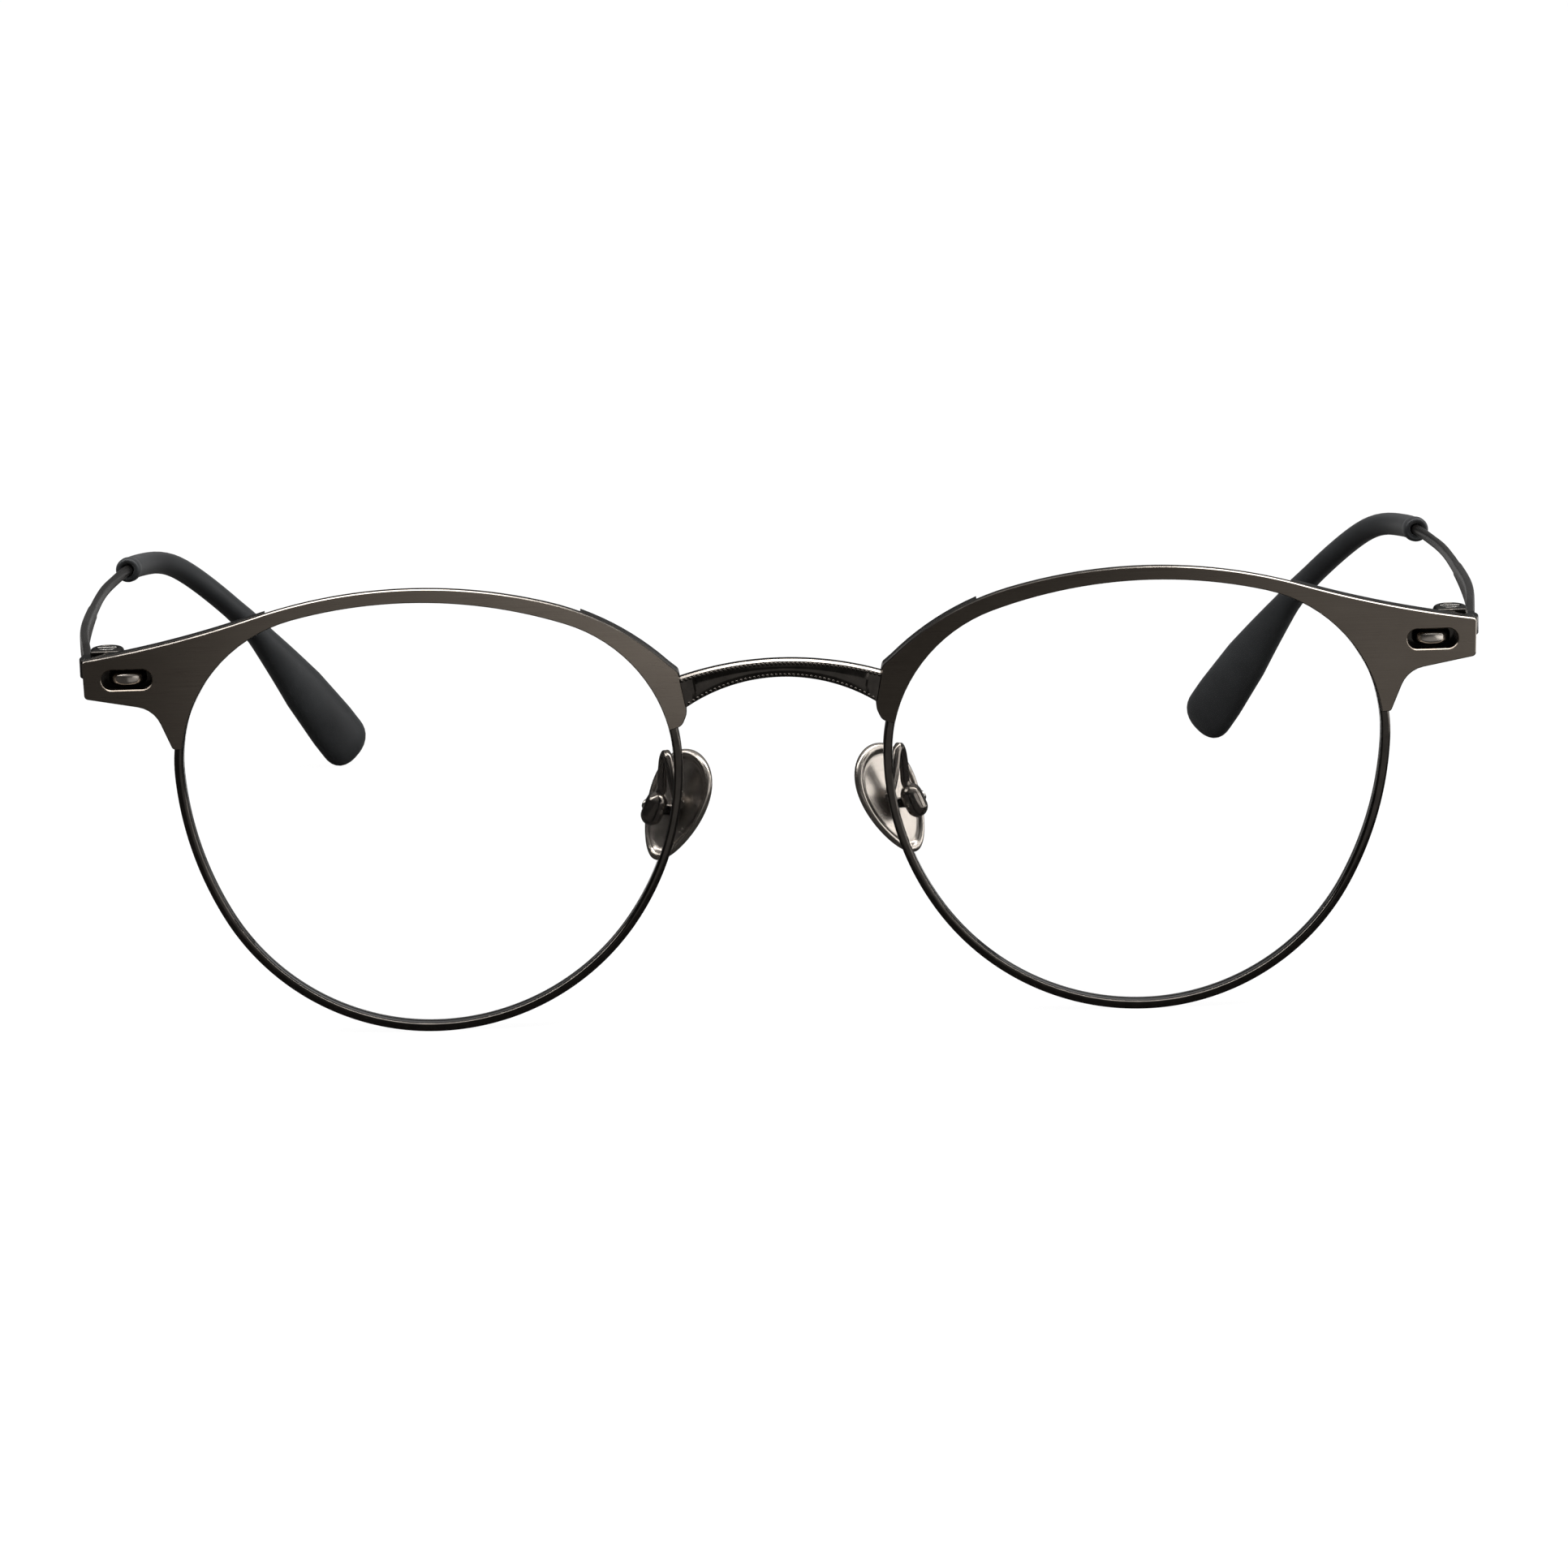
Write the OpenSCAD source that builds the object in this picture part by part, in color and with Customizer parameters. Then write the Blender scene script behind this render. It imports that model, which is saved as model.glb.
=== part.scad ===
// Round metal eyeglasses: panto rims, slotted brow plates, a beaded bridge, folding temples and rocking nose pads.
// +X is to the viewer's right, the front faces -Y, and the rims and the temple tips stand on Z = 0.

/* [Lens and rim] */
// Width of a lens opening
eye_w = 50.2; // [48:0.1:52]
// Height of a lens opening
eye_h = 44.4; // [43:0.1:46]
// Distance between the two lens openings
lens_gap = 22.4; // [21:0.1:24]
// Radial thickness of the rim
rim_wall = 0.9; // [0.8:0.05:1.1]
// Depth of the rim from front to back
rim_depth = 2.1; // [1.9:0.05:2.5]
// Width of the lens groove
groove_w = 0.6; // [0.5:0.05:0.8]
// Depth of the lens groove
groove_depth = 0.45; // [0.35:0.05:0.55]
// Thickness of the lens
lens_t = 1.6; // [1.4:0.1:1.8]
// Radius of the lens front
lens_front_r = 230; // [200:5:300]
// Clearance round the lens, in the groove and out of it
lens_fit = 0.06; // [0.04:0.01:0.1]

/* [Brow plate] */
// Thickness of the brow plate
plate_t = 1; // [0.8:0.05:1.3]
// Reach of the tab past the lens opening
tab_l = 9.7; // [9.4:0.1:11]
// Height of the tab at its end
tab_h = 3.9; // [3.8:0.05:4.4]
// Length of the slot in the tab
slot_l = 5.2; // [4.8:0.1:5.6]
// Height of the slot in the tab
slot_h = 2.1; // [1.9:0.05:2.3]
// Distance from the tab's end to the slot's middle
slot_inset = 4.5; // [4.3:0.1:5]
// Distance from the tab's top corner down to the slot's middle
slot_drop = 2; // [1.9:0.05:2.2]

/* [End piece and rim lock] */
// Thickness of the layer behind the brow plate
layer_t = 1.2; // [1:0.05:1.5]
// Width of the rim lock beside the rim
lock_w = 2.4; // [2.2:0.1:2.7]
// Height of each half of the rim lock
lock_h = 1.8; // [1.6:0.1:2]
// Gap between the two halves of the rim lock
lock_gap = 0.15; // [0.1:0.05:0.3]
// Shank diameter of the rim screw
rim_screw_d = 1; // [0.8:0.05:1.2]

/* [Bridge] */
// Depth of the bridge from front to back
bridge_t = 1.15; // [1.05:0.05:1.4]
// Height of the bridge at its middle
bridge_h = 1.85; // [1.7:0.05:2.2]
// Distance that the bridge's polished panel stands proud
panel_rise = 0.15; // [0.1:0.05:0.25]
// Height of the bead row above and below the panel
bead_band = 0.5; // [0.4:0.05:0.6]

/* [Hinge] */
// Diameter of the hinge ears
ear_d = 3.5; // [3.3:0.1:3.8]
// Height of each hinge ear
ear_h = 1; // [0.9:0.05:1.2]
// Height of the temple's knuckle between the ears
knuckle_h = 1.9; // [1.7:0.05:2.1]
// Running clearance of the hinge
hinge_play = 0.05; // [0.03:0.01:0.09]
// Shank diameter of the hinge screw
hinge_screw_d = 1.2; // [1:0.05:1.4]
// Diameter of the rounded lug that shows in the slot
lug_d = 3.4; // [3.2:0.1:3.6]
// Height of the rounded lug
lug_h = 1.4; // [1.2:0.05:1.5]

/* [Temple] */
// Length of the temple from its hinge to its tip
temple_l = 145; // [135:1:150]
// Downward slope of the temple, in degrees
temple_slope = 5; // [3:0.1:6]
// Outward bow of the temple from its hinge
temple_bow = 6.7; // [5.5:0.1:7.5]
// Thickness of the temple blade
blade_t = 0.95; // [0.85:0.05:1.1]
// Height of the temple blade
blade_h = 2.6; // [2.2:0.1:3]
// Diameter of the temple's wire end
wire_d = 1.15; // [1:0.05:1.3]
// Diameter of the tip's round neck
tip_d = 2.6; // [2.4:0.1:3]
// Width of the tip's paddle
paddle_w = 6.5; // [6:0.1:7.5]
// Thickness of the tip's paddle
paddle_t = 3; // [2.6:0.1:3.4]
// Length of the wire inside the tip
core_l = 26; // [20:1:32]

/* [Nose pads] */
// Length of a nose pad
pad_l = 12.2; // [11.5:0.1:13]
// Width of a nose pad
pad_w = 7.4; // [6.6:0.1:8]
// Thickness of a nose pad at its rim
pad_t = 0.9; // [0.8:0.05:1.2]
// Turn of a nose pad away from the front, in degrees
pad_splay = 42; // [36:1:48]
// Lean of a nose pad towards the nose, in degrees
pad_lean = 23; // [18:1:26]
// Diameter of the pad arm's wire
arm_d = 0.95; // [0.8:0.05:1.1]
// Diameter of the pad box
box_d = 2.25; // [2.15:0.05:2.4]
// Height of the pad box
box_h = 3.7; // [3.5:0.05:3.9]
// Running clearance of the pad pivot
pad_play = 0.05; // [0.03:0.01:0.08]

/* [Hidden] */
$fn = 64;

// Gap of a soldered seam between two pieces
seam = 0.02;
// Length of one side of a curved outline
curve_step = 1.2;
// Far reach of a cutter, past anything on the object
far = 60;
dark = "#3a3836";
gunmetal = "#57504a";

// Point on an arc that starts at p with heading h, after it has turned by t
function arc_point(p, h, r, t) = p + sign(t) * r * [sin(h + t) - sin(h), cos(h) - cos(h + t)];
// Points of a chain of tangent arcs, each a radius and a turn
function chain(p, h, arcs, i = 0) = i == len(arcs) ? [p] :
    let (r = arcs[i][0], turn = arcs[i][1], n = arc_sides(r, turn))
    concat([for (k = [0 : n - 1]) arc_point(p, h, r, turn * k / n)],
           chain(arc_point(p, h, r, turn), h + turn, arcs, i + 1));
function arc_sides(r, turn) = max(2, ceil(abs(turn) * PI / 180 * r / curve_step));
function arc_vector(h, t) = [sin(h + t) - sin(h), cos(h) - cos(h + t)];
function sum(v, i = 0) = i == len(v) - 1 ? v[i] : v[i] + sum(v, i + 1);
function cross2(a, b) = a.x * b.y - a.y * b.x;
function xs(points) = [for (p = points) p.x];

// The lens opening is seven tangent arcs, from its lowest point anticlockwise. Two radii follow from its closing.
eye_turns = [61.1, 25.5, 79.6, 32.7, 70.2, 36, 54.9];
eye_drawn = [23.55, 0, 15.5, 49.4, 15.7, 27.8, 0];
eye_heads = [for (i = 0, h = 0; i < len(eye_turns); h = h + eye_turns[i], i = i + 1) h];
eye_vectors = [for (i = [0 : len(eye_turns) - 1]) arc_vector(eye_heads[i], eye_turns[i])];
eye_rest = -sum([for (i = [0 : len(eye_turns) - 1]) eye_drawn[i] * eye_vectors[i]]);
eye_det = cross2(eye_vectors[1], eye_vectors[6]);
eye_closed = [for (i = [0 : len(eye_turns) - 1])
    i == 1 ? cross2(eye_rest, eye_vectors[6]) / eye_det :
    i == 6 ? cross2(eye_vectors[1], eye_rest) / eye_det : eye_drawn[i]];
eye_raw = chain([0, 0], 0, [for (i = [0 : len(eye_turns) - 1]) [eye_closed[i], eye_turns[i]]]);
eye_normals = concat([for (i = [0 : len(eye_turns) - 1])
    let (n = arc_sides(eye_closed[i], eye_turns[i]))
    for (k = [0 : n - 1]) let (h = eye_heads[i] + eye_turns[i] * k / n) [sin(h), -cos(h)]], [[0, -1]]);
eye_k = [eye_w / (max(xs(eye_raw)) - min(xs(eye_raw))), eye_h / max([for (p = eye_raw) p.y])];
eye_low = [lens_gap / 2 - min(xs(eye_raw)) * eye_k.x, rim_wall];

// A point that keeps its place on the lens opening at any size
function on_eye(p) = eye_low + [p.x * eye_k.x, p.y * eye_k.y];
// Outline of the lens opening, moved outward by d
function eye_loop(d) = [for (i = [0 : len(eye_raw) - 2]) on_eye(eye_raw[i]) + d * eye_normals[i]];
eye_right = lens_gap / 2 + eye_w;
eye_top = max([for (p = eye_loop(0)) p.y]);
eye_mid = [lens_gap / 2 + eye_w / 2, (rim_wall + eye_top) / 2];

// Arc that rounds the corner b of the path a, b, c
function unit(v) = v / norm(v);
function corner(a, b, c, r) =
    let (u = unit(a - b), v = unit(c - b), half = acos(u * v) / 2,
         start = b + u * r / tan(half), turn = sign(cross2(-u, v)) * (180 - 2 * half), h = atan2(-u.y, -u.x),
         n = max(3, ceil(abs(turn) / 12)))
    [for (k = [0 : n]) arc_point(start, h, r, turn * k / n)];

// The brow plate's top edge runs from its nasal corner over the rim to the tab's end
top_start = on_eye([-25.95, 36.3]);
// Its first heading and then the turns of its arcs, in degrees
top_turns = [45.95, -30.77, -32.58];
top_head = top_turns[0];
top_arcs = [[28.05 * eye_k.x, top_turns[1]], [53.55 * eye_k.x, top_turns[2]]];
top_drawn = chain(top_start, top_head, top_arcs);
top_last = top_drawn[len(top_drawn) - 1];
top_last_head = sum(top_turns);
top_last_r = 111.3;
tab_x = eye_right + tab_l;
top_last_turn = asin(sin(top_last_head) + (tab_x - top_last.x) / top_last_r) - top_last_head;
top_edge = chain(top_start, top_head, concat(top_arcs, [[top_last_r, top_last_turn]]));
tab_top = top_edge[len(top_edge) - 1];
tab_low = [tab_x - 0.1, tab_top.y - tab_h];
tab_root = on_eye([27.5, 34.1]);
spike_low = on_eye([25.75, 29.9]);
spike_in = on_eye([24, 29.8]);
nose_in = on_eye([-24, 29.9]);
nose_low = on_eye([-26.3, 30.65]);
nose_side = on_eye([-26.9, 32]);
nose_top = on_eye([-26.1, 36.3]);
plate_outline = concat(
    [nose_in],
    corner(nose_in, nose_low, nose_side, 1),
    corner(nose_low, nose_side, nose_top, 1.6),
    corner(nose_side, nose_top, top_edge[1], 0.6),
    [for (i = [1 : len(top_edge) - 2]) top_edge[i]],
    corner(top_edge[len(top_edge) - 2], tab_top, tab_low, 0.4),
    corner(tab_top, tab_low, tab_root, 0.45),
    corner(tab_low, tab_root, spike_low, 3),
    corner(tab_root, spike_low, spike_in, 0.4),
    [spike_in]);

// Layers from the front: plate, then rim and end piece side by side, then the hinge's slab
plate_edge_setback = 0.08;
rim_y = plate_t;
layer_back = plate_t + layer_t;
slab_t = 0.7;
slab_back = layer_back + slab_t;
slot_mid = [tab_x - slot_inset, tab_top.y - slot_drop];

// Rim lock, beside the rim behind the plate's spike
split_z = slot_mid.y - 0.55;
lock_back = plate_t + rim_depth + 0.5;
lock_y = (plate_t + lock_back) / 2;
rim_side = max([for (p = eye_loop(rim_wall)) if (abs(p.y - split_z) < curve_step) p.x]);
lock_side = rim_side + lock_w;
rim_screw_x = lock_side - 0.65;
rim_screw_head_h = 0.45;
rim_screw_head_d = rim_screw_d + 0.5;

// Hinge axis, vertical
hinge_x = tab_x - 2.3;
hinge_y = slab_back + 1.3;
hinge_z = tab_top.y - 1.4;
ear_off = knuckle_h / 2 + hinge_play;
knuckle_r = ear_d / 2 - 0.05;
shoulder_r = knuckle_r + 1.2;
pin_head_d = hinge_screw_d + 0.9;
pin_head_h = 0.45;
driver_slot = 0.3;

// Bridge, a bow between the plates
bridge_top = top_start.y + 0.965;
bridge_top_r = 34.6;
bridge_low_r = 17.8;
bridge_end = lens_gap / 2 + 0.6;
bridge_foot_end = lens_gap / 2 + 9;
bridge_front = panel_rise;
panel_end = 8.75;
// Height of a bow of radius r at distance x from its crown
function bow(x, r) = sqrt(r * r - x * x) - r;
bow_steps = 28;
function bow_points(reach, crown, r) =
    [for (i = [0 : bow_steps]) let (x = reach * (1 - 2 * i / bow_steps)) [x, crown + bow(x, r)]];
function reversed(v) = [for (i = [len(v) - 1 : -1 : 0]) v[i]];

// Centre line of the right temple, as points on its run, its bow and its hook
hook_l = 46.5;
temple_run = temple_l - hook_l - 1;
knuckle_reach = 1.9;
blade_x = shoulder_r - blade_t / 2 - 0.2;
tip_rest = 0.8;
run_drop = temple_run * tan(temple_slope);
hook_z = hinge_z - run_drop;
bar_knots = [for (k = [[0.28, 0.74], [0.61, 0.985], [0.81, 1], [1, 0.78]])
    [hinge_x + temple_bow * k[1], hinge_y + temple_run * k[0], hinge_z - run_drop * k[0]]];
hook_knots = [for (k = [[-3.7, 8.8, 0.07], [-9.8, 15.6, 0.3], [-14.2, 19.8, 0.52], [-22.7, 27, 1]])
    [hinge_x + temple_bow * 0.78 + k.x, hinge_y + temple_run + k.y, hook_z - k.z * (hook_z - tip_rest)]];
bar_start = [hinge_x + blade_x, hinge_y + knuckle_reach, hinge_z - knuckle_reach * tan(temple_slope)];
temple_knots = concat([bar_start], bar_knots, hook_knots);

// Smooth curve through knots, with straight ends
function knot(v, i) = i < 0 ? 2 * v[0] - v[1] : i >= len(v) ? 2 * v[len(v) - 1] - v[len(v) - 2] : v[i];
function spline_point(v, i, t) = let (a = knot(v, i - 1), b = knot(v, i), c = knot(v, i + 1), d = knot(v, i + 2))
    0.5 * (2 * b + (c - a) * t + (2 * a - 5 * b + 4 * c - d) * t * t + (3 * b - a - 3 * c + d) * t * t * t);
function spline(v, n) = concat([for (i = [0 : len(v) - 2]) for (k = [0 : n - 1]) spline_point(v, i, k / n)],
                               [v[len(v) - 1]]);
function lengths(v) = [for (i = 0, s = 0; i < len(v); s = s + (i + 1 < len(v) ? norm(v[i + 1] - v[i]) : 0), i = i + 1) s];
// A path holds its points by the distance along it
function path(v) = let (s = lengths(v)) [for (axis = [0 : 2]) [for (i = [0 : len(v) - 1]) [s[i], v[i][axis]]]];
function path_end(p) = p[0][len(p[0]) - 1][0];
function at(p, s) = [lookup(s, p[0]), lookup(s, p[1]), lookup(s, p[2])];
function heading(p, s) = let (e = path_end(p), d = e / 240) unit(at(p, min(e, s + d)) - at(p, max(0, s - d)));

// Section of a swept piece at distance s: half thickness, half height, and how square it is (2 is an ellipse).
// It lies square to the path, or to head where that is given.
function power(x, n) = sign(x) * pow(abs(x), 2 / n);
function ring(p, s, up, half_t, half_h, square, sides, head = undef) =
    let (t = head == undef ? heading(p, s) : head, side = unit(cross(t, up)), tall = cross(side, t), c = at(p, s))
    [for (k = [0 : sides - 1]) let (a = 360 * (k + 0.5) / sides)
        c + side * half_t * power(cos(a), square) + tall * half_h * power(sin(a), square)];

// A closed skin over rings of points
module skin(rings) {
    n = len(rings[0]);
    m = len(rings);
    polyhedron(
        points = [for (r = rings) each r],
        faces = concat(
            [[for (k = [0 : n - 1]) n - 1 - k]],
            [for (i = [0 : m - 2]) for (k = [0 : n - 1]) let (j = (k + 1) % n)
                each [[i * n + k, i * n + j, (i + 1) * n + j], [i * n + k, (i + 1) * n + j, (i + 1) * n + k]]],
            [[for (k = [0 : n - 1]) (m - 1) * n + k]]));
}

// Temple sections by distance along the centre line
temple_path = path(spline(temple_knots, 10));
temple_end = path_end(temple_path);
tip_start = temple_run - 7;
tip_len = temple_end - tip_start;
step_at = 48;
step_t = 0.2;
up = [0, 0, 1];
function bar_half_t(s) = lookup(s, [[0, blade_t], [step_at, blade_t], [step_at + 2, blade_t - step_t],
    [tip_start - 12, wire_d * 0.8], [tip_start - 3, wire_d]]) / 2;
function bar_half_h(s) = lookup(s, [[0, blade_h * 0.7], [8, blade_h], [30, blade_h * 0.85],
    [step_at, blade_h * 0.56], [step_at + 14, wire_d], [tip_start, wire_d]]) / 2;
function bar_square(s) = lookup(s, [[0, 6], [step_at, 6], [tip_start - 3, 2]]);
bar_sides = 16;
core_step = 2.6;
core_marks = [for (s = [tip_start : core_step : tip_start + core_l]) s];
bar_marks = concat([0, 3, 6, 10], [for (s = [16 : 6 : step_at]) s], [step_at, step_at + 2],
                   [for (s = [step_at + 8 : 6 : tip_start - 4]) s], [tip_start - 3], core_marks);
core_play = 0.08;
function bar_ring(s, grow = 0) =
    ring(temple_path, s, up, bar_half_t(s) + grow, bar_half_h(s) + grow, bar_square(s), bar_sides,
         head = s == 0 ? [0, 1, 0] : undef);

tip_cap = 3;
function tip_half_t(f) = lookup(f, [[0, tip_d], [0.5, tip_d], [0.8, paddle_t], [1, paddle_t]]) / 2;
function tip_half_w(f) = lookup(f, [[0, tip_d], [0.48, tip_d], [0.6, tip_d * 1.3], [0.75, paddle_w * 0.76],
    [0.87, paddle_w * 0.96], [0.94, paddle_w], [1, paddle_w]]) / 2;
function tip_round(s) = let (d = s - (temple_end - tip_cap)) d <= 0 ? 1 : sqrt(max(0.02, 1 - pow(d / tip_cap, 2)));
tip_step = 2.2;
tip_marks = concat([for (s = [tip_start : tip_step : temple_end - tip_cap - 0.5]) s],
                   [for (d = [0, 0.3, 0.55, 0.75, 0.88, 0.96, 1]) temple_end - tip_cap + tip_cap * d]);
function tip_ring(s) = let (f = (s - tip_start) / tip_len, k = tip_round(s))
    ring(temple_path, s, up, tip_half_t(f) * k, tip_half_w(f) * k, 2.2, bar_sides);
tip_rings = [for (s = tip_marks) tip_ring(s)];
bore_end = core_marks[len(core_marks) - 1] + 0.5;
bore_rings = [for (s = concat([bore_end], reversed(core_marks))) bar_ring(s, core_play)];
object_depth = max([for (r = tip_rings) for (p = r) p.y]);
front_y = -object_depth / 2;

// Nose pad frame: its middle behind the rim's nasal side, X across, -Y towards the arm and Z along it
pad_mid = [lens_gap / 2 - 0.05, plate_t + rim_depth + 5.1, eye_mid.y - 1.6];
box_out = [0.6, -(box_d / 2 + 1.5), -0.75];
box_cap = box_d / 2 - 0.12;
box_body = box_h - box_d;
function spin_z(p, a) = [p.x * cos(a) - p.y * sin(a), p.x * sin(a) + p.y * cos(a), p.z];
function lean_y(p, a) = [p.x * cos(a) + p.z * sin(a), p.y, p.z * cos(a) - p.x * sin(a)];
function from_pad(p) = pad_mid + lean_y(spin_z(p, pad_splay), -pad_lean);
pad_steps = 28;
// Teardrop outline at a share k of its size, y deep
function drop_ring(k, y) = [for (i = [0 : pad_steps - 1]) let (a = 360 * i / pad_steps)
    [pad_w / 2 * k * cos(a) * (1 + 0.26 * sin(a)), y, pad_l / 2 * k * sin(a)]];
pad_rim_w = 0.65;
pad_floor = -pad_t * 0.3;
tab_play = 0.1;
pad_tab_t = 0.6;
pad_tab_r = 0.7;
pad_neck = 1;
rivet_d = 0.65;
rivet_head_d = 1.25;
rivet_head_h = 0.3;
rivet_reach = sqrt(pow(box_d / 2, 2) - pow(rivet_head_d / 2, 2));

// Pad arm: out of the rim's back, up, over and down into the pad box
arm_root = [lens_gap / 2 - rim_wall / 2 + 0.02, plate_t + rim_depth + seam, eye_mid.y - 0.3];
arm_tip = from_pad(box_out + [0, 0, box_body / 2 + box_cap + seam]);
arm_down = arm_tip - from_pad(box_out);
arm_knots = [
    arm_root,
    arm_root + [0, 0.5, 0.1],
    arm_root + [0.4, 1, 1],
    arm_root + [0.75, 1.5, 2.6],
    arm_root + [0.95, 2.1, 4.1],
    arm_root + [1.25, 2.7, 4.8],
    arm_root + [1.55, 3.2, 4.1],
    arm_root + [1.75, 3.4, 2.4],
    arm_tip + unit(arm_down) * 0.5,
    arm_tip];
arm_path = path(spline(arm_knots, 6));
arm_end = path_end(arm_path);
arm_rings = 27;
arm_sides = 12;
function arm_ring(s) = ring(arm_path, s, [1, 0, 0], arm_d / 2, arm_d / 2, 2, arm_sides,
    head = s == 0 ? [0, 1, 0] : s == arm_end ? unit(-arm_down) : undef);

// The children, drawn for the right side, moved to the front plane, on the right (1) or the left (-1)
module side_of(side) {
    translate([0, front_y, 0]) mirror([side < 0 ? 1 : 0, 0, 0]) children();
}
// A flat piece, drawn as seen from the front, with its front at y
module sheet(y, t) {
    translate([0, y + t, 0]) rotate([90, 0, 0]) linear_extrude(t) children();
}
module slot_cut(grow = 0) {
    run = (slot_l - slot_h) / 2;
    for (x = [-run, run])
        translate([slot_mid.x + x, far / 2, slot_mid.y]) rotate([90, 0, 0]) cylinder(h = far, d = slot_h + grow);
    translate([slot_mid.x - run, -far / 2, slot_mid.y - slot_h / 2 - grow / 2]) cube([2 * run, far, slot_h + grow]);
}

module rim(side) {
    color(dark) side_of(side) difference() {
        sheet(rim_y, rim_depth) polygon(eye_loop(rim_wall));
        sheet(rim_y - 1, rim_depth + 2) polygon(eye_loop(0));
        sheet(rim_y + (rim_depth - groove_w) / 2, groove_w) polygon(eye_loop(groove_depth));
        translate([eye_mid.x, rim_y - 1, split_z - lock_gap / 2]) cube([eye_w, rim_depth + 2, lock_gap]);
    }
}

// The bevel sits in the groove, and the rest of the lens just inside the opening
module lens(side) {
    front = plate_t * 0.05;
    color("#dfe8ea", 0.3) side_of(side) union() {
        intersection() {
            sheet(-1, 8) polygon(eye_loop(-lens_fit));
            translate([eye_mid.x, front + lens_front_r, eye_mid.y]) rotate([90, 0, 0]) difference() {
                sphere(r = lens_front_r, $fn = 240);
                sphere(r = lens_front_r - lens_t, $fn = 240);
            }
        }
        sheet(rim_y + rim_depth / 2 - groove_w / 2 + lens_fit, groove_w - 2 * lens_fit) difference() {
            polygon(eye_loop(groove_depth - lens_fit));
            polygon(eye_loop(-lens_fit - 0.3));
        }
    }
}

module brow_plate(side) {
    color(gunmetal) side_of(side) difference() {
        sheet(0, plate_t) difference() {
            polygon(plate_outline);
            polygon(eye_loop(plate_edge_setback));
        }
        slot_cut();
    }
}

// The layer behind the plate's temple side, with the upper half of the rim lock
module end_piece(side) {
    layer_start = eye_mid.x + eye_w * 0.32;
    color(dark) side_of(side) difference() {
        union() {
            sheet(plate_t, layer_t) intersection() {
                polygon(plate_outline);
                union() {
                    translate([layer_start, split_z + lock_gap / 2]) square([far, far]);
                    translate([lock_side + 0.3, tab_low.y - far]) square([far, 2 * far]);
                }
                translate([0, tab_low.y - 1]) square(2 * far);
            }
            translate([rim_side - 1, plate_t, split_z + lock_gap / 2]) cube([lock_w + 1, lock_back - plate_t, lock_h]);
        }
        sheet(0, far) polygon(eye_loop(rim_wall + seam));
        slot_cut();
        translate([rim_screw_x, lock_y, split_z - 1]) cylinder(h = lock_h, d = rim_screw_d + 2 * seam);
    }
}

// The lower half of the rim lock
module rim_block(side) {
    color(dark) side_of(side) difference() {
        translate([rim_side - 1, plate_t + seam, split_z - lock_gap / 2 - lock_h])
            cube([lock_w + 1, lock_back - plate_t - seam, lock_h]);
        sheet(0, far) polygon(eye_loop(rim_wall + seam));
        translate([rim_screw_x, lock_y, split_z - 2 * lock_h]) cylinder(h = 3 * lock_h, d = rim_screw_d + 0.1);
    }
}

module rim_screws() {
    low = split_z - lock_gap / 2 - lock_h - seam;
    color("silver") for (side = [-1, 1]) side_of(side) translate([rim_screw_x, lock_y, low]) difference() {
        union() {
            cylinder(h = lock_h + lock_gap + lock_h * 0.4, d = rim_screw_d);
            translate([0, 0, -rim_screw_head_h]) cylinder(h = rim_screw_head_h, d = rim_screw_head_d);
        }
        translate([-far / 2, -driver_slot / 2, -rim_screw_head_h - 1]) cube([far, driver_slot, 1.2]);
    }
}

// Outline of the bridge's bow, out to a reach on each side
module bow_shape(reach, trim = 0) {
    low = bridge_top - bridge_h;
    polygon(concat(bow_points(reach, bridge_top - trim, bridge_top_r),
                   reversed(bow_points(reach, low + trim, bridge_low_r))));
}

// The bow between the plates, its polished panel, and a foot behind each plate's nasal corner
module bridge() {
    color(dark) translate([0, front_y, 0]) union() {
        sheet(bridge_front, bridge_t) difference() {
            bow_shape(bridge_end);
            for (m = [0, 1]) mirror([m, 0]) translate([-seam, 0]) polygon(plate_outline);
        }
        sheet(bridge_front - panel_rise, panel_rise + 0.2) bow_shape(panel_end, bead_band);
        for (m = [0, 1]) mirror([m, 0, 0]) sheet(plate_t, layer_t) difference() {
            union() {
                intersection() {
                    bow_shape(bridge_end, 0.3);
                    translate([bridge_end - 2.4, 0]) square(far);
                }
                intersection() {
                    polygon(plate_outline);
                    square([bridge_foot_end, far]);
                }
            }
            polygon(eye_loop(rim_wall + seam));
        }
    }
}

// A slab behind the end piece, two ears for the knuckle, and the lug that reaches forward into the slot
module front_hinge(side) {
    slab_low = hinge_z - ear_off - ear_h + 0.2;
    slab_h = tab_top.y - 0.1 - slab_low;
    lug_y = lug_d / 2 + 0.2;
    color(dark) side_of(side) difference() {
        union() {
            translate([slot_mid.x - lug_d / 2 + 0.4, layer_back, slab_low])
                cube([tab_low.x - 0.2 - slot_mid.x + lug_d / 2 - 0.4, slab_t, slab_h]);
            for (z = [ear_off, -ear_off - ear_h]) translate([hinge_x, 0, hinge_z + z]) {
                translate([0, hinge_y, 0]) cylinder(h = ear_h, d = ear_d);
                translate([-ear_d / 2, layer_back, 0]) cube([ear_d, hinge_y - layer_back, ear_h]);
            }
            translate([slot_mid.x, lug_y, slot_mid.y - lug_h / 2]) cylinder(h = lug_h, d = lug_d);
        }
        translate([hinge_x, hinge_y, hinge_z - ear_off]) cylinder(h = 2 * ear_off, r = knuckle_r + 0.1);
        translate([hinge_x, hinge_y, hinge_z - far / 2]) cylinder(h = far, d = hinge_screw_d + 2 * hinge_play);
        translate([hinge_x, hinge_y, hinge_z + ear_off + ear_h - pin_head_h - hinge_play])
            cylinder(h = far, d = pin_head_d + 2 * hinge_play);
    }
}

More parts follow.
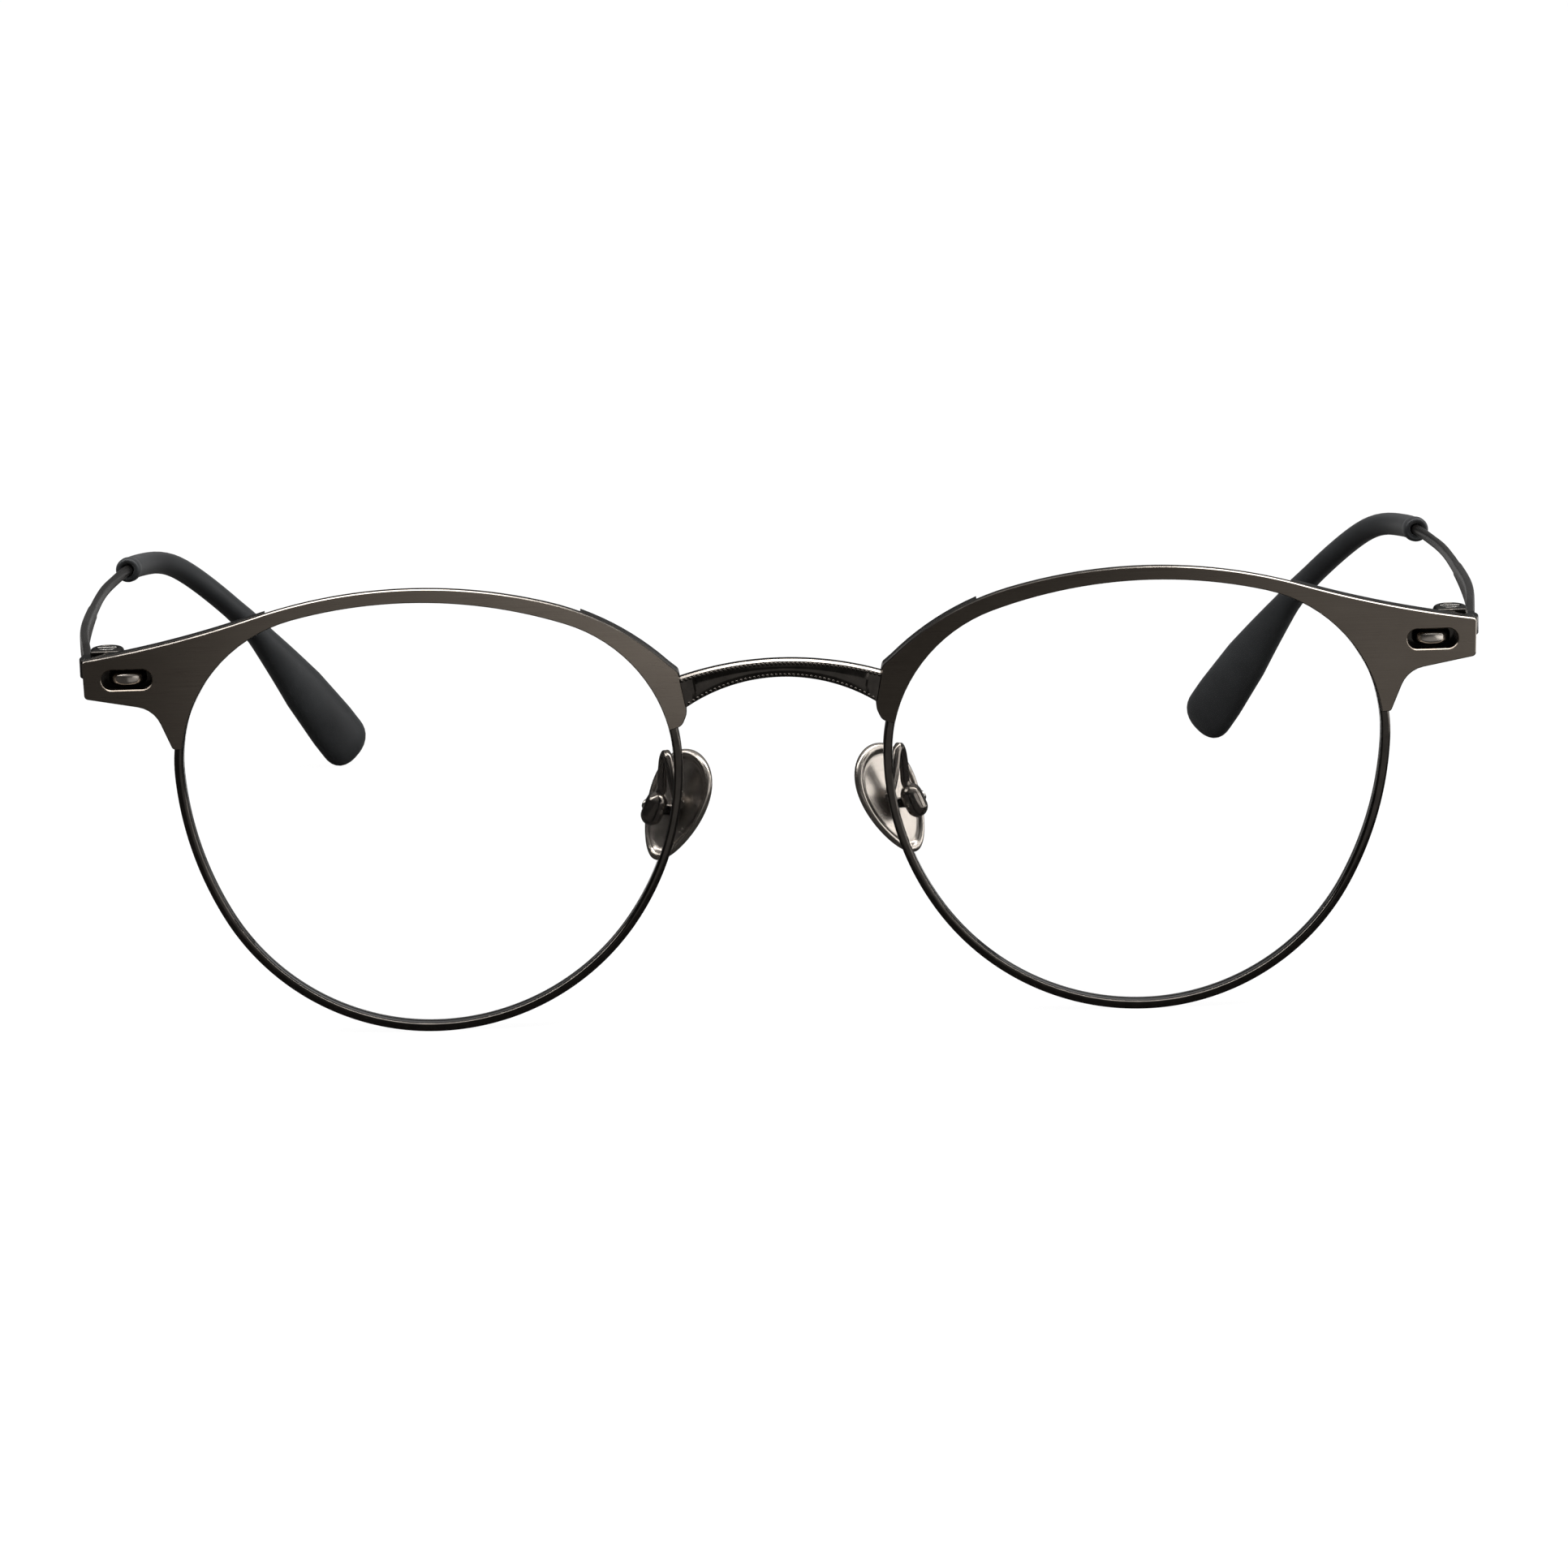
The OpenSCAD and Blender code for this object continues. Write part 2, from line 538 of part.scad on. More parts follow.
module hinge_screws() {
    top = hinge_z + ear_off + ear_h;
    color("silver") for (side = [-1, 1]) side_of(side) translate([hinge_x, hinge_y, 0]) difference() {
        union() {
            translate([0, 0, hinge_z - ear_off - ear_h]) cylinder(h = 2 * (ear_off + ear_h) - 0.1, d = hinge_screw_d);
            translate([0, 0, top - pin_head_h]) cylinder(h = pin_head_h, d = pin_head_d);
        }
        translate([-far / 2, -driver_slot / 2, top - 0.2]) cube([far, driver_slot, 1]);
    }
}

// The knuckle between the ears, with a round shoulder that the blade grows from
module temple_hinge(side) {
    stop = slab_back - hinge_y + 0.1;
    color(dark) side_of(side) translate([hinge_x, hinge_y, hinge_z - knuckle_h / 2]) difference() {
        union() {
            cylinder(h = knuckle_h, r = knuckle_r);
            intersection() {
                cylinder(h = knuckle_h, r = shoulder_r);
                translate([0, stop, 0]) cube([far, knuckle_reach - seam - stop, far]);
            }
            translate([blade_x - blade_t / 2, 0, 0]) cube([blade_t, knuckle_reach - seam, knuckle_h]);
        }
        translate([0, 0, -1]) cylinder(h = knuckle_h + 2, d = hinge_screw_d + 2 * hinge_play);
    }
}

module temple_bar(side) {
    color(dark) side_of(side) skin([for (s = bar_marks) bar_ring(s)]);
}

// A rubber sleeve over the bar's wire, that widens into a paddle
module temple_tip(side) {
    color("#1d2126") side_of(side) skin(concat(bore_rings, tip_rings));
}

module pad_arm(side) {
    color(dark) side_of(side)
        skin([for (i = [0 : arm_rings - 1]) arm_ring(i == arm_rings - 1 ? arm_end : arm_end * i / (arm_rings - 1))]);
}

// The children, drawn in the nose pad's frame
module at_pad(side) {
    side_of(side) translate(pad_mid) rotate([0, -pad_lean, 0]) rotate([0, 0, pad_splay]) children();
}

// A rounded box, cut flat where the arm meets it, with a slot for the pad's tab
module pad_box(side) {
    mouth_h = 2 * (pad_tab_r + tab_play);
    color(dark) at_pad(side) translate(box_out) difference() {
        union() {
            translate([0, 0, -box_body / 2]) cylinder(h = box_body, d = box_d);
            for (z = [-1, 1]) translate([0, 0, z * box_body / 2]) sphere(d = box_d);
        }
        translate([-far / 2, -far / 2, box_body / 2 + box_cap]) cube(far);
        translate([-pad_tab_t / 2 - tab_play, -pad_tab_r - tab_play, -mouth_h / 2])
            cube([pad_tab_t + 2 * tab_play, far, mouth_h]);
        translate([-far / 2, 0, 0]) rotate([0, 90, 0]) cylinder(h = far, d = rivet_d + 2 * seam);
        translate([rivet_reach, -far / 2, -far / 2]) cube(far);
    }
}

module pad_rivets() {
    color("silver") for (side = [-1, 1]) at_pad(side) translate(box_out) rotate([0, 90, 0]) {
        translate([0, 0, -box_d / 2 + 0.1]) cylinder(h = box_d / 2 + rivet_reach, d = rivet_d);
        translate([0, 0, rivet_reach + seam]) cylinder(h = rivet_head_h, d = rivet_head_d);
    }
}

// A dished teardrop with a raised rim, and a tab that the rivet holds in the pad box
module nose_pad(side) {
    inner = 1 - 2 * pad_rim_w / pad_w;
    color(gunmetal) at_pad(side) difference() {
        union() {
            skin([drop_ring(0.1, pad_floor), drop_ring(0.5, pad_floor), drop_ring(inner, pad_floor - 0.03),
                  drop_ring(inner + 0.05, -pad_t * 0.58), drop_ring(0.93, -pad_t * 0.66), drop_ring(0.98, -pad_t * 0.58),
                  drop_ring(1, -pad_t * 0.35), drop_ring(1, 0), drop_ring(0.96, pad_t * 0.22),
                  drop_ring(0.8, pad_t * 0.4), drop_ring(0.45, pad_t * 0.55), drop_ring(0.1, pad_t * 0.6)]);
            translate(box_out + [-pad_tab_t / 2, 0, -pad_neck / 2])
                cube([pad_tab_t, pad_floor + 0.1 - box_out.y, pad_neck]);
            translate(box_out + [-pad_tab_t / 2, 0, 0]) rotate([0, 90, 0]) cylinder(h = pad_tab_t, r = pad_tab_r);
        }
        translate(box_out + [-1, 0, 0]) rotate([0, 90, 0]) cylinder(h = 2, d = rivet_d + 2 * pad_play);
    }
}

rim(-1);  // left_rim
rim(1);  // right_rim
lens(-1);  // left_lens
lens(1);  // right_lens
brow_plate(-1);  // left_brow_plate
brow_plate(1);  // right_brow_plate
end_piece(-1);  // left_end_piece
end_piece(1);  // right_end_piece
rim_block(-1);  // left_rim_block
rim_block(1);  // right_rim_block
rim_screws();
bridge();
front_hinge(-1);  // left_front_hinge
front_hinge(1);  // right_front_hinge
hinge_screws();
temple_hinge(-1);  // left_temple_hinge
temple_hinge(1);  // right_temple_hinge
temple_bar(-1);  // left_temple_bar
temple_bar(1);  // right_temple_bar
temple_tip(-1);  // left_temple_tip
temple_tip(1);  // right_temple_tip
pad_arm(-1);  // left_pad_arm
pad_arm(1);  // right_pad_arm
pad_box(-1);  // left_pad_box
pad_box(1);  // right_pad_box
pad_rivets();
nose_pad(-1);  // left_nose_pad
nose_pad(1);  // right_nose_pad
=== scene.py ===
import math
import bmesh
import bpy
from mathutils import Matrix, Vector


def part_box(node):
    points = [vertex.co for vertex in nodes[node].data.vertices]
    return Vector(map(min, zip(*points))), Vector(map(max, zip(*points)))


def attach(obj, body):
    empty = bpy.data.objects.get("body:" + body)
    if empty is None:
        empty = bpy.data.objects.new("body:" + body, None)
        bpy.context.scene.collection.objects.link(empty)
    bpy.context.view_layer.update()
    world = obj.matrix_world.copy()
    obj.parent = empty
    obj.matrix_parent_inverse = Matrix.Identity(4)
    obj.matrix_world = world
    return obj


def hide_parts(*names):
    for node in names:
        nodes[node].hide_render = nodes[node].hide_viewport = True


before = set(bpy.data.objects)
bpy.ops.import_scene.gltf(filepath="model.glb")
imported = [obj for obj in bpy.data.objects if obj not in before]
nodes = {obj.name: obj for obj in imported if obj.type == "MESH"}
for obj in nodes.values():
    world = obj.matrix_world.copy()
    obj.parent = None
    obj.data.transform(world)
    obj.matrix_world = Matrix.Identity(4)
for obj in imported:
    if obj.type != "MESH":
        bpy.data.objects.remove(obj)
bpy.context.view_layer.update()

mm = 0.001
sides = {"left": -1, "right": 1}
scene = bpy.context.scene
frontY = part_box("right_brow_plate")[0].y / mm  # the brow plates' front faces, where every depth starts
noiseRange = (0.3, 0.7)  # nearly all of a noise pattern lies between these
cutSnap = 1e-7  # metres: a plane cuts through a point that is so near to it


# An sRGB hex colour as the linear colour that Blender works in
def hexToLinear(hexColour):
    parts = [int(hexColour[i:i + 2], 16) / 255 for i in (1, 3, 5)]
    return [c / 12.92 if c <= 0.04045 else ((c + 0.055) / 1.055) ** 2.4 for c in parts] + [1]


# Adds one node: settings are its own options or its inputs' values, links are the sockets that feed it
def addNode(tree, kind, settings=None, links=None):
    node = tree.nodes.new(kind)
    for name, value in (settings or {}).items():
        if isinstance(name, str) and hasattr(node, name):
            setattr(node, name, value)
        else:
            node.inputs[name].default_value = value
    for name, source in (links or {}).items():
        tree.links.new(source, node.inputs[name])
    return node


# A material, with the values that are the same all over set on its shader
def newMaterial(name, **values):
    material = bpy.data.materials.new(name)
    material.use_nodes = True
    tree = material.node_tree
    shader = tree.nodes["Principled BSDF"]
    for socket, value in values.items():
        shader.inputs[socket.replace("_", " ")].default_value = value
    return material, tree, shader


# A pattern in the object's own space, with a different grain size in mm along each axis
def grainPattern(tree, grain, detail=3):
    place = addNode(tree, "ShaderNodeTexCoord")
    scale = addNode(tree, "ShaderNodeMapping", {"Scale": [1 / (size * mm) for size in grain]},
                    {"Vector": place.outputs["Object"]})
    noise = addNode(tree, "ShaderNodeTexNoise", {"Scale": 1, "Detail": detail, "Roughness": 0.6},
                    {"Vector": scale.outputs["Vector"]})
    return noise.outputs["Fac"]


# Gives a shader its finish: one pattern runs the colour from dark to light, one runs the roughness from low
# to high, and one is the relief, of a depth in mm
def applyFinish(tree, shader, look, shade, haze, relief):
    darkAt, lightAt = look.get("shadeRange", noiseRange)
    tone = addNode(tree, "ShaderNodeMapRange", {"From Min": darkAt, "From Max": lightAt}, {"Value": shade})
    # a colour mix takes its two colours at inputs 6 and 7 and gives them at output 2
    colour = addNode(tree, "ShaderNodeMix", {"data_type": "RGBA", "clamp_factor": True,
                                             6: hexToLinear(look["dark"]), 7: hexToLinear(look["light"])},
                     {0: tone.outputs["Result"]})
    low, high = look["roughness"]
    rough = addNode(tree, "ShaderNodeMapRange", {"From Min": noiseRange[0], "From Max": noiseRange[1],
                                                 "To Min": low, "To Max": high}, {"Value": haze})
    bump = addNode(tree, "ShaderNodeBump", {"Strength": look["strength"], "Distance": look["depth"] * mm},
                   {"Height": relief})
    tree.links.new(colour.outputs[2], shader.inputs["Base Color"])
    tree.links.new(rough.outputs["Result"], shader.inputs["Roughness"])
    tree.links.new(bump.outputs["Normal"], shader.inputs["Normal"])


# Gunmetal-plated titanium sheet, brushed along its length: the hair lines keep the shine narrow sideways
# and draw it out up and down. Real brush lines are about 0.03 mm wide, and are drawn a little wider to show
def makeBrushedGunmetal():
    look = {"dark": "#665e56", "light": "#756d64", "shadeRange": (0.4, 1.0), "roughness": (0.27, 0.34),
            "hair": (7, 0.05, 0.05), "cloud": (6, 6, 3), "cloudShare": 0.4, "depth": 0.002, "strength": 0.3}
    material, tree, shader = newMaterial("brushedGunmetal", Metallic=1, Anisotropic=0.7)
    hair = grainPattern(tree, look["hair"])
    cloud = grainPattern(tree, look["cloud"], 2)
    both = addNode(tree, "ShaderNodeMath", {"operation": "MULTIPLY_ADD", 1: look["cloudShare"]},
                   {0: cloud, 2: hair})
    applyFinish(tree, shader, look, both.outputs["Value"], hair, hair)
    along = addNode(tree, "ShaderNodeTangent", {"direction_type": "UV_MAP", "uv_map": "brushLines"})
    tree.links.new(along.outputs["Tangent"], shader.inputs["Tangent"])
    return material


# Polished metals: each is a mirror with a faint haze and a slight waviness from the buffing wheel. The haze's
# clouds are a millimetre or two wide, and smaller on the turned parts
polishedMetals = {
    # gunmetal plating cut with a diamond tool: a thin mirror line
    "diamondCutGunmetal": {"dark": "#706b66", "light": "#87817a", "roughness": (0.16, 0.26), "cloud": 2},
    # black nickel plating: near-black, with sharp light lines along its rounded edges
    "polishedBlackNickel": {"dark": "#34322f", "light": "#423f3c", "roughness": (0.1, 0.2), "cloud": 1.6},
    # the same plating, lighter where the bridge and rims are buffed bright
    "buffedBlackNickel": {"dark": "#3b3835", "light": "#4a4642", "roughness": (0.08, 0.18), "cloud": 1.2},
    # the same plating over a rounded casting: it mirrors the whole studio as small bright spots
    "polishedCastNickel": {"dark": "#5f5a55", "light": "#716b65", "roughness": (0.06, 0.12), "cloud": 1.6},
    # the same plating, buffed pale: the nose pads and slot lugs show broad soft reflections
    "mirrorGunmetal": {"dark": "#98918a", "light": "#a69f97", "roughness": (0.2, 0.28), "cloud": 2.4},
    # stainless steel, turned: the screws and rivets are bright and a little blurred
    "turnedStainlessSteel": {"dark": "#8f8c88", "light": "#aaa7a2", "roughness": (0.16, 0.3), "cloud": 0.3},
}


def makePolished(name):
    look = dict(polishedMetals[name], depth=0.003, strength=0.15)
    material, tree, shader = newMaterial(name, Metallic=1)
    haze = grainPattern(tree, [look["cloud"]] * 3, 4)
    applyFinish(tree, shader, look, haze, haze, haze)
    return material


# Gunmetal-plated wire, satin finished along its length: the temple bars are an even dark grey. The satin
# lines are about 0.05 mm wide, and are drawn ten times as wide to show
def makeSatinGunmetal():
    look = {"dark": "#595653", "light": "#605d59", "roughness": (0.26, 0.3), "hair": (0.5, 30, 0.5),
            "depth": 0.002, "strength": 0.05}
    material, tree, shader = newMaterial("satinGunmetal", Metallic=1)
    hair = grainPattern(tree, look["hair"], 2)
    applyFinish(tree, shader, look, hair, hair, hair)
    return material


# Silicone rubber, moulded in a fine-blasted tool: near-black with a blue cast and a soft grey sheen. The
# blasted grain is about 0.04 mm, and is drawn three times as coarse to show
def makeTipRubber():
    look = {"dark": "#151618", "light": "#1f2123", "roughness": (0.4, 0.52), "grain": (0.12, 0.12, 0.12),
            "cloud": (7, 7, 7), "depth": 0.01, "strength": 0.2}
    material, tree, shader = newMaterial("mouldedSiliconeRubber", IOR=1.43, Sheen_Weight=0.1)
    grain = grainPattern(tree, look["grain"], 2)
    cloud = grainPattern(tree, look["cloud"])
    applyFinish(tree, shader, look, cloud, cloud, grain)
    return material


# Clear CR-39 lens with an anti-reflection coat: all but invisible. The plastic's own IOR is 1.5, and it is
# set so low that the lens reflects as little as the coat lets it. The film varies over a centimetre or so
def makeLens():
    look = {"film": (12, 12, 12), "roughest": 0.004}
    material, tree, shader = newMaterial("clearCoatedLens", Base_Color=hexToLinear("#ffffff"), IOR=1.12,
                                         Transmission_Weight=1.0)
    film = grainPattern(tree, look["film"], 2)
    rough = addNode(tree, "ShaderNodeMapRange", {"From Min": noiseRange[0], "From Max": noiseRange[1],
                                                 "To Max": look["roughest"]}, {"Value": film})
    tree.links.new(rough.outputs["Result"], shader.inputs["Roughness"])
    return material


brushedGunmetal = makeBrushedGunmetal()
cutEdge = makePolished("diamondCutGunmetal")
blackNickel = makePolished("polishedBlackNickel")
buffedNickel = makePolished("buffedBlackNickel")
castNickel = makePolished("polishedCastNickel")
mirrorGunmetal = makePolished("mirrorGunmetal")
turnedSteel = makePolished("turnedStainlessSteel")
satinGunmetal = makeSatinGunmetal()
tipRubber = makeTipRubber()
clearLens = makeLens()
print("materials done")


# A piece of the model: its finishes, the body it rides on and the CAD nodes it stands for
def newPiece(name, mesh, materials, body, replaced=()):
    piece = bpy.data.objects.new(name, mesh)
    scene.collection.objects.link(piece)
    for material in materials:
        mesh.materials.append(material)
    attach(piece, body)
    if replaced:
        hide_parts(*replaced)
    return piece


# Smooth shading, but for the edges that are sharper than an angle
def smoothMesh(mesh, sharpAngle=35):
    mesh.polygons.foreach_set("use_smooth", [True] * len(mesh.polygons))
    mesh.set_sharp_from_angle(angle=math.radians(sharpAngle))
    mesh.update()


# Writes a bmesh into a mesh and lets go of it
def finishMesh(bm, mesh):
    bm.to_mesh(mesh)
    bm.free()
    return mesh


# A CAD node's mesh with its flat faces whole again, so that its edges can be broken
def cadCopy(node, name):
    bm = bmesh.new()
    bm.from_mesh(nodes[node].data)
    # points within two thousandths of a mm become one, and so do faces within 0.4 degrees
    bmesh.ops.remove_doubles(bm, verts=bm.verts, dist=0.002 * mm)
    bmesh.ops.dissolve_limit(bm, angle_limit=math.radians(0.4), verts=bm.verts, edges=bm.edges)
    return finishMesh(bm, bpy.data.meshes.new(name))


# Rounds or chamfers the edges of a piece that are sharper than an angle, by a width in mm
def breakEdges(piece, width, segments=2, angle=32, cutMaterial=-1, harden=True):
    bevel = piece.modifiers.new("edgeBreak", "BEVEL")
    bevel.width = width * mm
    bevel.segments = segments
    bevel.limit_method = "ANGLE"
    bevel.angle_limit = math.radians(angle)
    bevel.use_clamp_overlap = True
    bevel.material = cutMaterial
    bevel.harden_normals = harden


# A piece that keeps its CAD shape and gets broken edges
def cadPiece(node, name, material, body, width, segments=2, sharpAngle=35, edgeAngle=32):
    mesh = cadCopy(node, name)
    smoothMesh(mesh, sharpAngle)
    breakEdges(newPiece(name, mesh, [material], body, [node]), width, segments, edgeAngle)


# End pieces and rim blocks behind the brow plates
blockEdge = {"endPiece": 0.1, "rimBlock": 0.12}  # mm
for side in sides:
    cadPiece(side + "_end_piece", side + "EndPiece", blackNickel, "front",
             blockEdge["endPiece"])
    cadPiece(side + "_rim_block", side + "RimBlock", blackNickel, "front",
             blockEdge["rimBlock"])
print("end pieces and rim blocks done")

# Brow plates, in mm: brushed fronts, with a bright cut line along the edges that look up. Each is shaded as
# if it were bowed about its middle, in upright strips
browPlate = {"chamfer": 0.12, "middle": {"left": 60, "right": 74}, "bowRadius": 110, "stripWide": 1.8,
             "strips": 42, "slot": (66.6, 38.34), "slotReach": (2.9, 1.4), "sharpAngle": 25}


# Tilts the shading as on a plate that is bowed gently round the lens
def bowShading(mesh, middle):
    bm = bmesh.new()
    bm.from_mesh(mesh)
    for k in range(-browPlate["strips"], browPlate["strips"] + 1):
        cut = Vector((browPlate["stripWide"] * k * mm, 0, 0))
        bmesh.ops.bisect_plane(bm, geom=bm.verts[:] + bm.edges[:] + bm.faces[:], dist=cutSnap,
                               plane_co=cut, plane_no=(1, 0, 0))
    # a flat map across X and Z, which the brush lines follow
    lines = bm.loops.layers.uv.new("brushLines")
    for face in bm.faces:
        for loop in face.loops:
            loop[lines].uv = loop.vert.co.x, loop.vert.co.z
    bmesh.ops.triangulate(bm, faces=bm.faces[:])
    finishMesh(bm, mesh)
    normals = []
    for loop, normal in zip(mesh.loops, mesh.corner_normals):
        turn = (mesh.vertices[loop.vertex_index].co.x / mm - middle) / browPlate["bowRadius"]
        normals.append(Matrix.Rotation(turn, 3, "Z") @ normal.vector)
    mesh.normals_split_custom_set(normals)


slotX, slotZ = browPlate["slot"]
slotReachX, slotReachZ = browPlate["slotReach"]
for side, sign in sides.items():
    mesh = cadCopy(side + "_brow_plate", side + "BrowPlate")
    smoothMesh(mesh)
    piece = newPiece(side + "BrowPlate", mesh, [brushedGunmetal, cutEdge], "front",
                     [side + "_brow_plate"])
    breakEdges(piece, browPlate["chamfer"], 1, cutMaterial=1, harden=False)
    bpy.context.view_layer.update()
    mesh = bpy.data.meshes.new_from_object(piece.evaluated_get(bpy.context.evaluated_depsgraph_get()))
    piece.modifiers.clear()
    piece.data = mesh
    smoothMesh(mesh, browPlate["sharpAngle"])
    # the slot's own edge is brushed like the front
    for face in mesh.polygons:
        if abs(abs(face.center.x) / mm - slotX) < slotReachX and abs(face.center.z / mm - slotZ) < slotReachZ:
            face.material_index = 0
    bowShading(mesh, sign * browPlate["middle"][side])
print("brow plates done")


# A smooth curve through knots, in even steps of the curve between each two
def splinePoints(knots, steps):
    knots = [Vector(k) for k in knots]
    ends = [2 * knots[0] - knots[1]] + knots + [2 * knots[-1] - knots[-2]]
    points = []
    for i in range(1, len(ends) - 2):
        a, b, c, d = ends[i - 1:i + 3]
        for k in range(steps):
            t = k / steps
            points.append(0.5 * (2 * b + (c - a) * t + (2 * a - 5 * b + 4 * c - d) * t * t
                                 + (3 * b - a - 3 * c + d) * t ** 3))
    return points + [knots[-1]]


# A path that gives its point and heading at a distance along it
class Path:
    def __init__(self, points):
        self.points = points
        self.marks = [0]
        for a, b in zip(points, points[1:]):
            self.marks.append(self.marks[-1] + (b - a).length)
        self.length = self.marks[-1]

    def at(self, distance):
        distance = min(max(distance, 0), self.length)
        i = max(k for k in range(len(self.marks) - 1) if self.marks[k] <= distance)
        t = (distance - self.marks[i]) / (self.marks[i + 1] - self.marks[i])
        return self.points[i].lerp(self.points[i + 1], min(t, 1))

    def heading(self, distance):
        step = self.length / 240  # short beside the path's bends
        return (self.at(distance + step) - self.at(distance - step)).normalized()


# The value at a place in a list of (place, value) pairs, straight between each two
def lookup(place, pairs):
    if place <= pairs[0][0]:
        return pairs[0][1]
    for (a, b), (c, d) in zip(pairs, pairs[1:]):
        if place <= c:
            return b + (d - b) * (place - a) / (c - a)
    return pairs[-1][1]


# A sine or cosine, raised so that a section is round at 2 and squarer above it
def power(value, square):
    return math.copysign(abs(value) ** (2 / square), value)


# Points of a section at a distance along a path: half thickness, half height and how square it is
def ringPoints(path, distance, halfThickness, halfHeight, square, count, up=(0, 0, 1)):
    head = path.heading(distance)
    across = head.cross(Vector(up)).normalized()
    tall = across.cross(head)
    centre = path.at(distance)
    ring = []
    for k in range(count):
        turn = math.tau * (k + 0.5) / count
        ring.append(centre + across * halfThickness * power(math.cos(turn), square)
                    + tall * halfHeight * power(math.sin(turn), square))
    return ring


# A closed skin over rings of points in mm, mirrored for the left side
def skinMesh(name, rings, sign=1, sharpAngle=40):
    count = len(rings[0])
    verts = [Vector((p[0] * sign, p[1], p[2])) * mm for ring in rings for p in ring]
    faces = [list(range(count))[::-1], list(range(len(verts) - count, len(verts)))]
    for i in range(len(rings) - 1):
        for k in range(count):
            j = (k + 1) % count
            faces.append([i * count + k, i * count + j, (i + 1) * count + j, (i + 1) * count + k])
    mesh = bpy.data.meshes.new(name)
    mesh.from_pydata(verts, [], faces)
    bm = bmesh.new()
    bm.from_mesh(mesh)
    bmesh.ops.recalc_face_normals(bm, faces=bm.faces)
    finishMesh(bm, mesh)
    smoothMesh(mesh, sharpAngle)
    return mesh


# Bridge, in mm: a bow whose top edge is cut bright, a barrelled panel on it and a row of beads above and
# below the panel. The real beads stand a little closer, and are drawn so far apart to show one by one
bridge = {"crownTop": 38.315, "crownLow": 36.465, "topRadius": 34.6, "lowRadius": 17.8, "face": 0.15,
          "back": 1.0, "reach": 11.2, "bowSteps": 40, "topCut": 0.19, "lowRound": 0.12, "lowCorner": 0.04,
          "panelReach": 8.75, "panelSlant": 0.035, "panelTop": 0.6, "panelLow": 0.46, "panelBow": 0.1,
          "panelBack": 0.4, "panelEnd": 0.22, "panelSink": 0.16, "panelSteps": 30, "panelRows": 8,
          "beadSize": 0.4, "beadPitch": 0.43, "beadDrop": 0.42, "beadLift": 0.26, "beadSink": 0.06,
          "beadReachTop": 10.1, "beadReachLow": 9.4, "feetEdge": 0.06, "sharpAngle": 30}


def bowTop(x):
    return bridge["crownTop"] - bridge["topRadius"] + math.sqrt(bridge["topRadius"] ** 2 - x * x)


def bowLow(x):
    return bridge["crownLow"] - bridge["lowRadius"] + math.sqrt(bridge["lowRadius"] ** 2 - x * x)


def bowRing(x):
    top, low, face, back = bowTop(x), bowLow(x), bridge["face"], bridge["back"]
    cut, rounding, corner = bridge["topCut"], bridge["lowRound"], bridge["lowCorner"]
    ring = [(back, top), (face + cut, top), (face, top - cut), (face, low + rounding)]
    ring += [(face + corner, low + corner), (face + rounding, low), (back, low)]
    return [Vector((x, frontY + y, z)) for y, z in ring]


# The panel's section, whose front is sunk at the panel's ends
def panelRing(x, sink=0):
    top, low, rows = bowTop(x) - bridge["panelTop"], bowLow(x) + bridge["panelLow"], bridge["panelRows"]
    shares = [k / rows for k in range(rows + 1)]
    ring = [(bridge["panelBack"], top)]
    ring += [(bridge["panelBow"] * (2 * share - 1) ** 2, top + (low - top) * share) for share in shares]
    ring += [(bridge["panelBack"], low)]
    return [Vector((x * (1 + bridge["panelSlant"] * (z - low) / (top - low)), frontY + max(y, sink), z))
            for y, z in ring]


# A row of beads along the bow, at a distance inside its top or lower edge
def beadRow(bm, edge, offset, reach):
    count = int(2 * reach / bridge["beadPitch"]) // 2 * 2
    for i in range(count + 1):
        x = (i / count * 2 - 1) * reach
        at = Vector((x, frontY + bridge["face"] + bridge["beadSink"], edge(x) + offset))
        bmesh.ops.create_icosphere(bm, subdivisions=2, radius=bridge["beadSize"] / 2 * mm,
                                   matrix=Matrix.Translation(at * mm))


reach, steps = bridge["reach"], bridge["bowSteps"]
rings = [bowRing(k * reach / steps) for k in range(-steps, steps + 1)]
mesh = skinMesh("bridgeBow", rings, sharpAngle=bridge["sharpAngle"])
newPiece("bridgeBow", mesh, [buffedNickel, cutEdge], "front", ["bridge"])
for face in mesh.polygons[2:]:  # the first two are the ends
    if (face.index - 2) % len(rings[0]) == 1:  # the strip along the top edge
        face.material_index = 1
reach, sink, steps = bridge["panelReach"], bridge["panelSink"], bridge["panelSteps"]
rings = [panelRing(k * (reach - bridge["panelEnd"]) / steps) for k in range(-steps, steps + 1)]
mesh = skinMesh("bridgePanel", [panelRing(-reach, sink)] + rings + [panelRing(reach, sink)],
                sharpAngle=bridge["sharpAngle"])
newPiece("bridgePanel", mesh, [buffedNickel], "front")
bm = bmesh.new()
beadRow(bm, bowTop, -bridge["beadDrop"], bridge["beadReachTop"])
beadRow(bm, bowLow, bridge["beadLift"], bridge["beadReachLow"])
mesh = finishMesh(bm, bpy.data.meshes.new("bridgeBeads"))
smoothMesh(mesh, sharpAngle=80)  # above the angles between a bead's faces
newPiece("bridgeBeads", mesh, [buffedNickel], "front")
